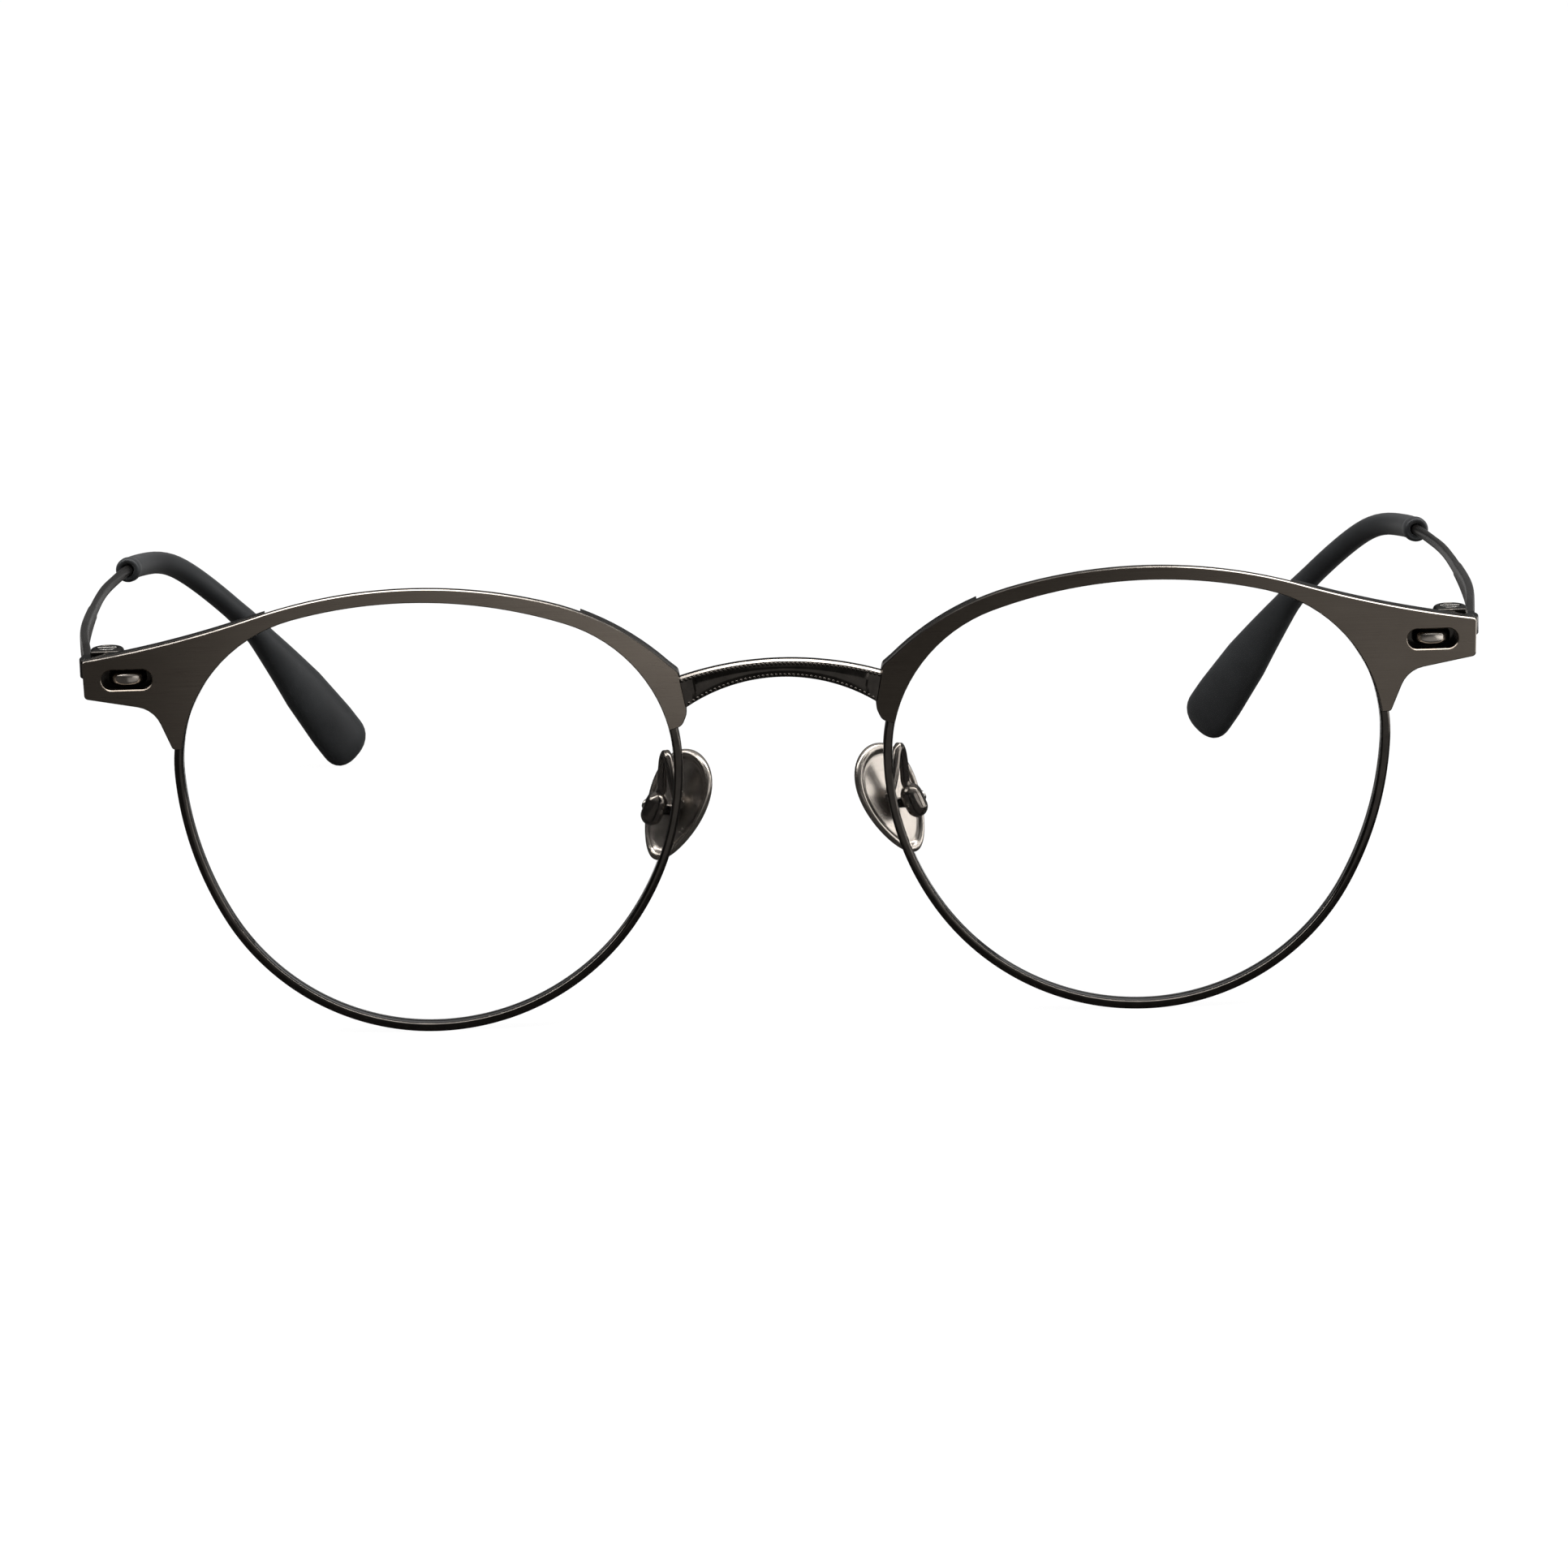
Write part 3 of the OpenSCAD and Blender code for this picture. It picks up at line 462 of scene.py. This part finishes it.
# the CAD bridge's back layer: the rest of the bow and the feet behind the plates
mesh = cadCopy("bridge", "bridgeFeet")
bm = bmesh.new()
bm.from_mesh(mesh)
cut = bmesh.ops.bisect_plane(bm, geom=bm.verts[:] + bm.edges[:] + bm.faces[:], dist=cutSnap,
                             plane_co=(0, (frontY + bridge["back"]) * mm, 0), plane_no=(0, 1, 0),
                             clear_inner=True)
bmesh.ops.holes_fill(bm, edges=[e for e in cut["geom_cut"] if isinstance(e, bmesh.types.BMEdge)])
finishMesh(bm, mesh)
smoothMesh(mesh)
breakEdges(newPiece("bridgeFeet", mesh, [blackNickel], "front"), bridge["feetEdge"])
print("bridge done")

# Rims, in mm: the lens outline's seven arcs, swept with a rounded section and a groove, open at the rim lock
rim = {"turns": (61.1, 25.5, 79.6, 32.7, 70.2, 36, 54.9),
       "radii": (23.55, 34.5552, 15.5, 49.4, 15.7, 27.8, 24.7649), "scale": (1.00004, 1.00414),
       "low": (36.5144, 0.9), "wall": 0.9, "front": 1.0, "depth": 2.1, "edge": 0.28, "grooveWide": 0.6,
       "grooveDeep": 0.45, "split": 37.79, "splitGap": 0.15, "templeSide": 55, "stepsPerMm": 1.6}


# Points and outward normals of the lens outline, anticlockwise from its lowest point
def lensOutline():
    x, z, heading, points = 0.0, 0.0, 0.0, []
    for radius, turn in zip(rim["radii"], rim["turns"]):
        turn = math.radians(turn)
        count = max(4, round(radius * turn * rim["stepsPerMm"]))
        for k in range(count):
            h = heading + turn * k / count
            px = x + radius * (math.sin(h) - math.sin(heading))
            pz = z + radius * (math.cos(heading) - math.cos(h))
            points.append((rim["low"][0] + px * rim["scale"][0], rim["low"][1] + pz * rim["scale"][1],
                           math.sin(h), -math.cos(h)))
        x += radius * (math.sin(heading + turn) - math.sin(heading))
        z += radius * (math.cos(heading) - math.cos(heading + turn))
        heading += turn
    return points


# The same outline, from the split's upper face round to its lower face
def openOutline():
    points = lensOutline()
    splitLow, splitHigh = (rim["split"] + turn * rim["splitGap"] / 2 for turn in (-1, 1))
    first = next(i for i, p in enumerate(points) if p[0] > rim["templeSide"] and p[1] > splitHigh)
    points = points[first:] + points[:first]
    last = max(i for i, p in enumerate(points)
               if p[0] > rim["templeSide"] and p[1] < splitLow and i > len(points) / 2)
    points = points[:last + 1]
    highX, highZ = points[0][:2]
    lowX, lowZ = points[-1][:2]
    start, end = [(highX + (lowX - highX) * (highZ - z) / (highZ - lowZ), z, 1, 0)
                  for z in (splitHigh, splitLow)]
    return [start] + points + [end]


# The rim's section from its inner front corner round to the groove, as places outward and back from the
# lens outline
def rimSection():
    low, high, wall, edge = rim["front"], rim["front"] + rim["depth"], rim["wall"], rim["edge"]
    turns = [math.radians(angle) for angle in (0, 22, 45, 68, 90)]
    arc = [(edge * (1 - math.cos(turn)), edge * (1 - math.sin(turn))) for turn in turns]
    section = [(c, low + s) for c, s in arc]
    section += [(wall - s, low + c) for c, s in arc]
    section += [(wall - c, high - s) for c, s in arc]
    section += [(s, high - c) for c, s in arc]
    middle, half, deep = (low + high) / 2, rim["grooveWide"] / 2, rim["grooveDeep"]
    return section + [(0, middle + half), (deep, middle + half), (deep, middle - half), (0, middle - half)]


rings = [[Vector((x + out * nx, frontY + y, z + out * nz)) for out, y in rimSection()]
         for x, z, nx, nz in openOutline()]
for side, sign in sides.items():
    mesh = skinMesh(side + "Rim", rings, sign)
    newPiece(side + "Rim", mesh, [buffedNickel], "front", [side + "_rim"])
print("rims done")

# Lenses, in mm: two domed faces inside the lens outline, with a bevel that sits in the rim's groove
lens = {"front": 0.05, "frontRadius": 230, "thick": 1.6, "fit": 0.06, "bevelOut": 0.39, "bevelMiddle": 2.05,
        "bevelHalf": 0.24, "middle": (36.3, 23.1), "shares": (0.002, 0.12, 0.3, 0.5, 0.7, 0.85, 0.95, 1)}
lensPoints = lensOutline()


# The lens outline, drawn in towards its middle by a share, on a dome of one radius
def domeRing(share, radius):
    middleX, middleZ = lens["middle"]
    ring = []
    for x, z, nx, nz in lensPoints:
        px = middleX + (x - lens["fit"] * nx - middleX) * share
        pz = middleZ + (z - lens["fit"] * nz - middleZ) * share
        out = (px - middleX) ** 2 + (pz - middleZ) ** 2
        y = lens["front"] + lens["frontRadius"] - math.sqrt(radius ** 2 - out)
        ring.append(Vector((px, frontY + y, pz)))
    return ring


# The lens outline at a depth, moved outward
def bevelRing(y, out):
    return [Vector((x + out * nx, frontY + y, z + out * nz)) for x, z, nx, nz in lensPoints]


bevelFront, bevelBack = (lens["bevelMiddle"] + turn * lens["bevelHalf"] for turn in (-1, 1))
rings = [domeRing(share, lens["frontRadius"]) for share in lens["shares"]]
rings += [bevelRing(bevelFront, -lens["fit"]), bevelRing(bevelFront, lens["bevelOut"])]
rings += [bevelRing(bevelBack, lens["bevelOut"]), bevelRing(bevelBack, -lens["fit"])]
rings += [domeRing(share, lens["frontRadius"] - lens["thick"]) for share in lens["shares"][::-1]]
for side, sign in sides.items():
    mesh = skinMesh(side + "Lens", rings, sign, 30)
    newPiece(side + "Lens", mesh, [clearLens], "front", [side + "_lens"])
print("lenses done")

# Front hinges, in mm: a slab behind the end piece, whose end towards the nose reaches under the slot past the
# lug as a dark sheet that paints the shade there, two rounded ears for the knuckle, each on a neck, and the
# rounded lug in the slot
hinge = {"axis": (68.8, 4.2, 38.943), "earRound": 1.75, "earHigh": 1.0, "earFrom": 1.0, "earEdge": 0.42,
         "headRound": 1.12, "headDeep": 0.5, "headEdge": 0.04, "neckInset": 0.1, "neckFront": 2.5,
         "neckBack": 0.9, "neckGap": 0.02, "neckEdge": 0.3, "slabAndSlotShadeLow": (63.8, 2.2, 37.14),
         "slabHigh": (70.8, 2.9, 40.24), "slabEdge": 0.12, "lug": (66.6, 2.1, 38.343), "lugRound": 1.95,
         "lugHigh": 1.4, "lugEdge": 0.5, "steps": 48}


# A disc about a vertical axis with a rounded edge, and a recess in its top if it has a screw head
def discPiece(name, centre, radius, high, edge, sign, material, recess=0):
    x, y, z = centre
    top, bore = high / 2, 0.001
    turns = [math.radians(angle) for angle in range(-90, 91, 15)]
    arc = [(radius - edge + edge * math.cos(turn), edge * math.sin(turn)) for turn in turns]
    profile = [(bore, -top)]
    profile += [(r, -top + edge + h) for r, h in arc if h <= 0]
    profile += [(r, top - edge + h) for r, h in arc if h >= 0]
    if recess:
        profile += [(recess + hinge["headEdge"], top), (recess, top - hinge["headEdge"])]
        profile += [(recess, top - hinge["headDeep"]), (bore, top - hinge["headDeep"])]
    else:
        profile += [(bore, top)]
    turns = [math.tau * k / hinge["steps"] for k in range(hinge["steps"])]
    rings = [[Vector((x + r * math.cos(turn), frontY + y + r * math.sin(turn), z + h)) for turn in turns]
             for r, h in profile]
    newPiece(name, skinMesh(name, rings, sign), [material], "front")


# A box between two corners with rounded edges
def boxPiece(name, low, high, sign, edge, replaced=()):
    corners = [(low[0], low[1]), (high[0], low[1]), (high[0], high[1]), (low[0], high[1])]
    rings = [[Vector((x, frontY + y, z)) for x, y in corners] for z in (low[2], high[2])]
    mesh = skinMesh(name, rings, sign, 35)
    breakEdges(newPiece(name, mesh, [blackNickel], "front", replaced), edge, 3)


axisX, axisY, axisZ = hinge["axis"]
neckHalf = hinge["earRound"] - hinge["neckInset"]
neckTall = hinge["earHigh"] / 2 - hinge["neckGap"]
for side, sign in sides.items():
    # the slab's low corner reaches under the slot past the lug: a dark sheet that paints the shade inside the
    # slot
    boxPiece(side + "HingeSlabAndSlotShade", hinge["slabAndSlotShadeLow"], hinge["slabHigh"], sign, hinge["slabEdge"],
             [side + "_front_hinge"])
    discPiece(side + "SlotLug", hinge["lug"], hinge["lugRound"], hinge["lugHigh"], hinge["lugEdge"], sign,
              mirrorGunmetal)
    for level, turn, recess in (("Upper", 1, hinge["headRound"]), ("Lower", -1, 0)):
        z = axisZ + turn * (hinge["earFrom"] + hinge["earHigh"] / 2)
        discPiece(side + level + "Ear", (axisX, axisY, z), hinge["earRound"], hinge["earHigh"],
                  hinge["earEdge"], sign, buffedNickel, recess)
        boxPiece(side + level + "EarNeck", (axisX - neckHalf, hinge["neckFront"], z - neckTall),
                 (axisX + neckHalf, axisY - hinge["neckBack"], z + neckTall), sign, hinge["neckEdge"])
print("front hinges done")

# Temples, in mm from the front plane: the bar runs back from the hinge, and the tip hooks down behind the
# ear. Bar knots are shares of the run and of the bow, and hook knots are sideways, back and a share of the
# fall to the ground. The mouth's rolled collar is a list of places from the tip's start and radii there
temple = {"hinge": (68.8, 4.2, 38.943), "run": 97.5, "slope": 5, "bow": 6.58, "bladeX": 2.225, "reach": 1.9,
          "bladeThick": 0.95, "bladeHigh": 2.6, "stepAt": 48, "step": 0.2, "wire": 1.15, "hingeEdge": 0.2,
          "barInTip": 12, "tipBefore": 7, "tipNeck": 2.6, "paddleWide": 6.5, "paddleThick": 3.0,
          "tipRest": 0.93, "tipSquare": 2.2, "capLength": 3, "capRound": 2.4, "mouthLong": 2,
          "knotSteps": 24, "barSides": 32, "barPitch": 1.5, "tipSides": 40, "tipPitch": 1.1,
          "barKnots": ((0.28, 0.74), (0.61, 0.985), (0.81, 1), (1, 0.78)),
          "hookKnots": ((-3.7, 8.8, 0.07), (-9.8, 15.6, 0.3), (-14.2, 19.8, 0.52), (-22.7, 26.86, 1)),
          "mouth": ((4, 0.6), (0.5, 0.62), (0, 0.72), (-0.25, 0.95), (-0.3, 1.15), (-0.2, 1.32),
                    (0.1, 1.42), (0.8, 1.45), (1.3, 1.4), (1.6, 1.31))}
hingeX, hingeY, hingeZ = temple["hinge"]
hingeY += frontY
slope = math.tan(math.radians(temple["slope"]))
drop = temple["run"] * slope
templeKnots = [(hingeX + temple["bladeX"], hingeY + temple["reach"], hingeZ - temple["reach"] * slope)]
for share, bow in temple["barKnots"]:
    templeKnots.append((hingeX + temple["bow"] * bow, hingeY + temple["run"] * share, hingeZ - drop * share))
hookX, hookY, hookZ = templeKnots[-1]
for x, y, fall in temple["hookKnots"]:
    templeKnots.append((hookX + x, hookY + y, hookZ - fall * (hookZ - temple["tipRest"])))
templePath = Path(splinePoints(templeKnots, temple["knotSteps"]))
tipStart = temple["run"] - temple["tipBefore"]
tipLength = templePath.length - tipStart
capStart = templePath.length - temple["capLength"]


# The bar's section: thicknesses, heights and squareness are listed by their distance along the temple
def barRing(s):
    thick, high, wire, stepAt = temple["bladeThick"], temple["bladeHigh"], temple["wire"], temple["stepAt"]
    thickness = lookup(s, [(0, thick), (stepAt, thick), (stepAt + 2, thick - temple["step"]),
                           (tipStart - 12, wire * 0.8), (tipStart - 3, wire)])
    height = lookup(s, [(0, high * 0.7), (8, high), (30, high * 0.85), (stepAt, high * 0.56),
                        (stepAt + 14, wire), (tipStart, wire)])
    square = lookup(s, [(0, 5), (stepAt, 5), (tipStart - 3, 2)])
    return ringPoints(templePath, s, thickness / 2, height / 2, square, temple["barSides"])


# The tip's section, listed by its share of the tip's length, and closed at the end by a blunt cap
def tipRing(s):
    share = (s - tipStart) / tipLength
    neck, wide, thick = temple["tipNeck"], temple["paddleWide"], temple["paddleThick"]
    thickness = lookup(share, [(0, neck), (0.5, neck), (0.8, thick), (1, thick)])
    height = lookup(share, [(0, neck), (0.5, neck), (0.6, neck * 1.2), (0.68, wide * 0.66),
                            (0.78, wide * 0.88), (0.9, wide), (1, wide)])
    past, blunt = max(0, s - capStart) / temple["capLength"], temple["capRound"]
    end = max(0.0006, 1 - past ** blunt) ** (1 / blunt)
    return ringPoints(templePath, s, thickness / 2 * end, height / 2 * end, temple["tipSquare"],
                      temple["tipSides"])


# Even places from start to end, about a size apart
def evenMarks(start, end, size):
    count = max(1, round((end - start) / size))
    return [start + (end - start) * i / count for i in range(count + 1)]


barMarks = evenMarks(0, temple["stepAt"], temple["barPitch"])
barMarks += evenMarks(temple["stepAt"] + 0.5, tipStart + temple["barInTip"], temple["barPitch"])
tipMarks = evenMarks(tipStart + 1, capStart, temple["tipPitch"])
tipMarks = [s for s in tipMarks if s > tipStart + temple["mouthLong"]]
capTurns = (12, 24, 36, 48, 58, 67, 75, 81, 86, 90)  # degrees, closer together towards the very end
tipMarks += [capStart + temple["capLength"] * math.sin(math.radians(angle)) for angle in capTurns]
barRings = [barRing(s) for s in barMarks]
tipRings = [ringPoints(templePath, tipStart + s, radius, radius, 2, temple["tipSides"])
            for s, radius in temple["mouth"]]
tipRings += [tipRing(s) for s in tipMarks]
for side, sign in sides.items():
    body = side + "_temple"
    mesh = skinMesh(side + "TempleBar", barRings, sign)
    newPiece(side + "TempleBar", mesh, [satinGunmetal], body, [side + "_temple_bar"])
    mesh = skinMesh(side + "TempleTip", tipRings, sign, 60)
    newPiece(side + "TempleTip", mesh, [tipRubber], body, [side + "_temple_tip"])
    cadPiece(side + "_temple_hinge", side + "TempleHinge", blackNickel, body,
             temple["hingeEdge"], 3)
print("temples done")

# Nose pads, in mm from the front plane, each in its own frame: X across, -Y towards the box and Z along it.
# The profile is a dished side with a rolled rim and then a domed side, as shares of the pad's size and
# depths. The arm's knots run from the rim to the box
pad = {"middle": (11.15, 8.2, 21.5), "splay": 42, "lean": 23, "long": 12.2, "wide": 7.4, "drop": 0.26,
       "steps": 72, "box": (0.6, -2.625, -0.75), "boxHigh": 3.7, "boxEdge": 0.1, "armRound": 0.475,
       "armInBox": 0.1, "armStraight": 0.5, "knotSteps": 10, "armSides": 24, "armPitch": 0.25,
       "tabThick": 0.6, "tabRound": 0.7, "tabRoot": -0.2, "tabRootHalf": 0.5, "tabEdge": 0.08, "tabSteps": 12,
       "profile": ((0.02, -0.27), (0.2, -0.27), (0.4, -0.27), (0.6, -0.275), (0.74, -0.285), (0.8, -0.3),
                   (0.83, -0.36), (0.85, -0.47), (0.87, -0.55), (0.9, -0.6), (0.93, -0.605), (0.96, -0.57),
                   (0.98, -0.5), (0.995, -0.38), (1, -0.22), (1, -0.05), (0.99, 0.08), (0.97, 0.17),
                   (0.93, 0.25), (0.85, 0.33), (0.7, 0.41), (0.5, 0.48), (0.3, 0.52), (0.1, 0.54),
                   (0.02, 0.54)),
       "armKnots": ((10.77, 3.12, 22.8), (10.77, 3.62, 22.9), (11.17, 4.12, 23.8), (11.52, 4.62, 25.4),
                    (11.72, 5.22, 26.9), (12.02, 5.82, 27.6), (12.32, 6.32, 26.9), (12.52, 6.52, 25.2))}
padLean = Matrix.Rotation(math.radians(-pad["lean"]), 3, "Y")
padTurn = padLean @ Matrix.Rotation(math.radians(pad["splay"]), 3, "Z")
padMiddle = Vector(pad["middle"]) + Vector((0, frontY, 0))


def fromPad(point):
    return padMiddle + padTurn @ Vector(point)


# A teardrop ring round the pad, wider towards its upper end
def dropRing(share, y):
    halfWide, halfLong = pad["wide"] / 2 * share, pad["long"] / 2 * share
    ring = []
    for k in range(pad["steps"]):
        turn = math.tau * k / pad["steps"]
        x = halfWide * math.cos(turn) * (1 + pad["drop"] * math.sin(turn))
        ring.append(fromPad((x, y, halfLong * math.sin(turn))))
    return ring


boxX, boxY, boxZ = pad["box"]
armTip = fromPad((boxX, boxY, boxZ + pad["boxHigh"] / 2 - pad["armInBox"]))
armDown = (armTip - fromPad(pad["box"])).normalized()
armKnots = [Vector(knot) + Vector((0, frontY, 0)) for knot in pad["armKnots"]]
armKnots += [armTip + armDown * pad["armStraight"], armTip]
armPath = Path(splinePoints(armKnots, pad["knotSteps"]))
armRings = [ringPoints(armPath, s, pad["armRound"], pad["armRound"], 2, pad["armSides"], (1, 0, 0))
            for s in evenMarks(0, armPath.length, pad["armPitch"])]
# the tab behind the pad, which the rivet holds in the box
tabTurns = [math.radians(90 + 180 * k / pad["tabSteps"]) for k in range(pad["tabSteps"] + 1)]
tabOutline = [(boxY + pad["tabRound"] * math.cos(turn), boxZ + pad["tabRound"] * math.sin(turn))
              for turn in tabTurns]
tabOutline += [(pad["tabRoot"], boxZ - pad["tabRootHalf"]), (pad["tabRoot"], boxZ + pad["tabRootHalf"])]
tabRings = [[fromPad((boxX + turn * pad["tabThick"] / 2, y, z)) for y, z in tabOutline] for turn in (-1, 1)]
padRings = [dropRing(share, y) for share, y in pad["profile"]]
for side, sign in sides.items():
    body = side + "_nose_pad"
    mesh = skinMesh(side + "PadArm", armRings, sign)
    newPiece(side + "PadArm", mesh, [castNickel], "front", [side + "_pad_arm"])
    cadPiece(side + "_pad_box", side + "PadBox", castNickel, "front", pad["boxEdge"],
             sharpAngle=40, edgeAngle=40)
    mesh = skinMesh(side + "NosePad", padRings, sign, 60)
    newPiece(side + "NosePad", mesh, [mirrorGunmetal], body, [side + "_nose_pad"])
    mesh = skinMesh(side + "PadTab", tabRings, sign, 35)
    breakEdges(newPiece(side + "PadTab", mesh, [blackNickel], body), pad["tabEdge"])
print("nose pads done")

# Screws and rivets keep their CAD shapes
screwEdge = 0.08  # mm
screws = {"rim_screws": "rimScrews", "hinge_screws": "hingeScrews", "pad_rivets": "padRivets"}
for node, name in screws.items():
    cadPiece(node, name, turnedSteel, "front", screwEdge)
print("screws done")

# Studio, in metres: a floor of dark paper that glows white to the camera, surroundings that are dim at eye
# level and brighter to the right and overhead, and soft lamps
studio = {"floorRadius": 6, "floorSides": 64, "floorColour": "#3a3938", "floorGlow": 0.97, "white": "#ffffff",
          "levelLeft": 0.05, "levelRight": 0.22, "levelFrom": -0.4, "levelTo": 0.8, "overhead": 0.55,
          "overheadFrom": 0.3, "overheadTo": 0.9}
edge = [(studio["floorRadius"] * math.cos(turn), studio["floorRadius"] * math.sin(turn), 0)
        for turn in (math.tau * k / studio["floorSides"] for k in range(studio["floorSides"]))]
mesh = bpy.data.meshes.new("studioFloor")
mesh.from_pydata(edge, [], [list(range(len(edge)))])
floor = bpy.data.objects.new("studioFloor", mesh)
scene.collection.objects.link(floor)


# Whether the ray comes from the camera, straight or through a lens, and not by way of any other surface
def seenRay(tree):
    rays = addNode(tree, "ShaderNodeLightPath").outputs
    turns = addNode(tree, "ShaderNodeMath", {"operation": "ADD"},
                    {0: rays["Diffuse Depth"], 1: rays["Glossy Depth"]})
    straight = addNode(tree, "ShaderNodeMath", {"operation": "LESS_THAN", 1: 0.5},
                       {0: turns.outputs["Value"]})
    through = addNode(tree, "ShaderNodeMath", {"operation": "MULTIPLY"},
                      {0: rays["Is Transmission Ray"], 1: straight.outputs["Value"]})
    seen = addNode(tree, "ShaderNodeMath", {"operation": "MAXIMUM"},
                   {0: rays["Is Camera Ray"], 1: through.outputs["Value"]})
    return seen.outputs["Value"]


floorPaper, tree, shader = newMaterial("studioPaper", Base_Color=hexToLinear(studio["floorColour"]),
                                       Roughness=0.9, Specular_IOR_Level=0.1,
                                       Emission_Color=hexToLinear(studio["white"]))
glow = addNode(tree, "ShaderNodeMath", {"operation": "MULTIPLY", 1: studio["floorGlow"]}, {0: seenRay(tree)})
tree.links.new(glow.outputs["Value"], shader.inputs["Emission Strength"])
mesh.materials.append(floorPaper)

world = bpy.data.worlds.new("softStudio")
scene.world = world
world.use_nodes = True
tree = world.node_tree
tree.nodes.clear()
direction = addNode(tree, "ShaderNodeTexCoord")
parts = addNode(tree, "ShaderNodeSeparateXYZ", {}, {"Vector": direction.outputs["Generated"]})
level = addNode(tree, "ShaderNodeMapRange",
                {"interpolation_type": "SMOOTHSTEP", "From Min": studio["levelFrom"],
                 "From Max": studio["levelTo"], "To Min": studio["levelLeft"],
                 "To Max": studio["levelRight"]},
                {"Value": parts.outputs["X"]})
overhead = addNode(tree, "ShaderNodeMapRange",
                   {"interpolation_type": "SMOOTHSTEP", "From Min": studio["overheadFrom"],
                    "From Max": studio["overheadTo"], "To Max": studio["overhead"]},
                   {"Value": parts.outputs["Z"]})
strength = addNode(tree, "ShaderNodeMath", {"operation": "ADD"},
                   {0: level.outputs["Result"], 1: overhead.outputs["Result"]})
softLight = addNode(tree, "ShaderNodeBackground", {"Color": hexToLinear(studio["white"])},
                    {"Strength": strength.outputs["Value"]})
whiteWall = addNode(tree, "ShaderNodeBackground", {"Color": hexToLinear(studio["white"]), "Strength": 1})
either = addNode(tree, "ShaderNodeMixShader", {}, {0: seenRay(tree), 1: softLight.outputs["Background"],
                                                   2: whiteWall.outputs["Background"]})
addNode(tree, "ShaderNodeOutputWorld", {}, {"Surface": either.outputs["Shader"]})

# Each lamp: where it stands, what it looks at, its size in metres and how bright its face is. The cards lie
# on the floor and throw light up. The two large ones aren't seen through the lenses
lamps = {
    "overheadLamp": {"at": (0.05, -0.28, 0.9), "aim": (0, -0.05, 0.02), "size": (2.0, 0.25), "face": 12},
    "rightLamp": {"at": (0.8, -0.1, 0.17), "aim": (0, 0, 0.02), "size": (0.5, 0.3), "face": 3.4},
    "highRightLamp": {"at": (0.95, -0.25, 0.68), "aim": (0, -0.05, 0.02), "size": (0.5, 0.4), "face": 4},
    "highLeftLamp": {"at": (-0.95, -0.25, 0.68), "aim": (0, -0.05, 0.02), "size": (0.5, 0.4), "face": 6},
    "rightCardLamp": {"at": (0.32, -0.1, 0.003), "aim": (0.32, -0.1, 1), "size": (0.3, 0.4), "face": 2.5},
    "backCardLamp": {"at": (0, 0.6, 0.002), "aim": (0, 0.6, 1), "size": (1.4, 0.9), "face": 0.25,
                     "throughLens": False},
    "frontCardLamp": {"at": (0.34, -0.42, 0.002), "aim": (0.34, -0.42, 1), "size": (0.8, 0.6), "face": 0.38,
                      "throughLens": False},
    "frontRightLamp": {"at": (0.36, -0.45, 0.06), "aim": (0.03, -0.065, 0.03), "size": (0.3, 0.25),
                       "face": 1.2},
}
for name, lamp in lamps.items():
    data = bpy.data.lights.new(name, "AREA")
    data.shape = "RECTANGLE"
    data.size, data.size_y = lamp["size"]
    data.energy = lamp["face"] * math.pi * lamp["size"][0] * lamp["size"][1]
    light = bpy.data.objects.new(name, data)
    light.location = lamp["at"]
    aim = Vector(lamp["aim"]) - light.location
    light.rotation_euler = aim.to_track_quat("-Z", "Y").to_euler()
    light.visible_camera = False
    light.visible_transmission = lamp.get("throughLens", True)
    scene.collection.objects.link(light)

# Camera at the photograph's angle, in degrees and mm: it looks at a point on the front plane
view = {"azimuth": -0.3, "elevation": 13, "roll": 1.75, "distance": 700, "targetX": 0.018, "targetZ": 25.31,
        "pixelsPerMm": 12.04, "imageSide": 1932, "sensorWidth": 36}
azimuth, elevation, roll = (math.radians(view[k]) for k in ("azimuth", "elevation", "roll"))
right = Vector((math.cos(azimuth), math.sin(azimuth), 0))
ahead = Vector((-math.sin(azimuth), math.cos(azimuth), 0))
back = -math.cos(elevation) * ahead + Vector((0, 0, math.sin(elevation)))
upward = back.cross(right)
cameraRight = math.cos(roll) * right - math.sin(roll) * upward
cameraUp = math.sin(roll) * right + math.cos(roll) * upward
cameraData = bpy.data.cameras.new("photoCamera")
cameraData.sensor_width = view["sensorWidth"]
cameraData.lens = view["sensorWidth"] * view["pixelsPerMm"] * view["distance"] / view["imageSide"]
cameraData.clip_start = 0.01
camera = bpy.data.objects.new("photoCamera", cameraData)
place = (Vector((view["targetX"], frontY, view["targetZ"])) + view["distance"] * back) * mm
camera.matrix_world = Matrix.Translation(place) @ Matrix((cameraRight, cameraUp, back)).transposed().to_4x4()
scene.collection.objects.link(camera)
scene.camera = camera
scene.view_settings.view_transform = "Standard"
print("studio done")
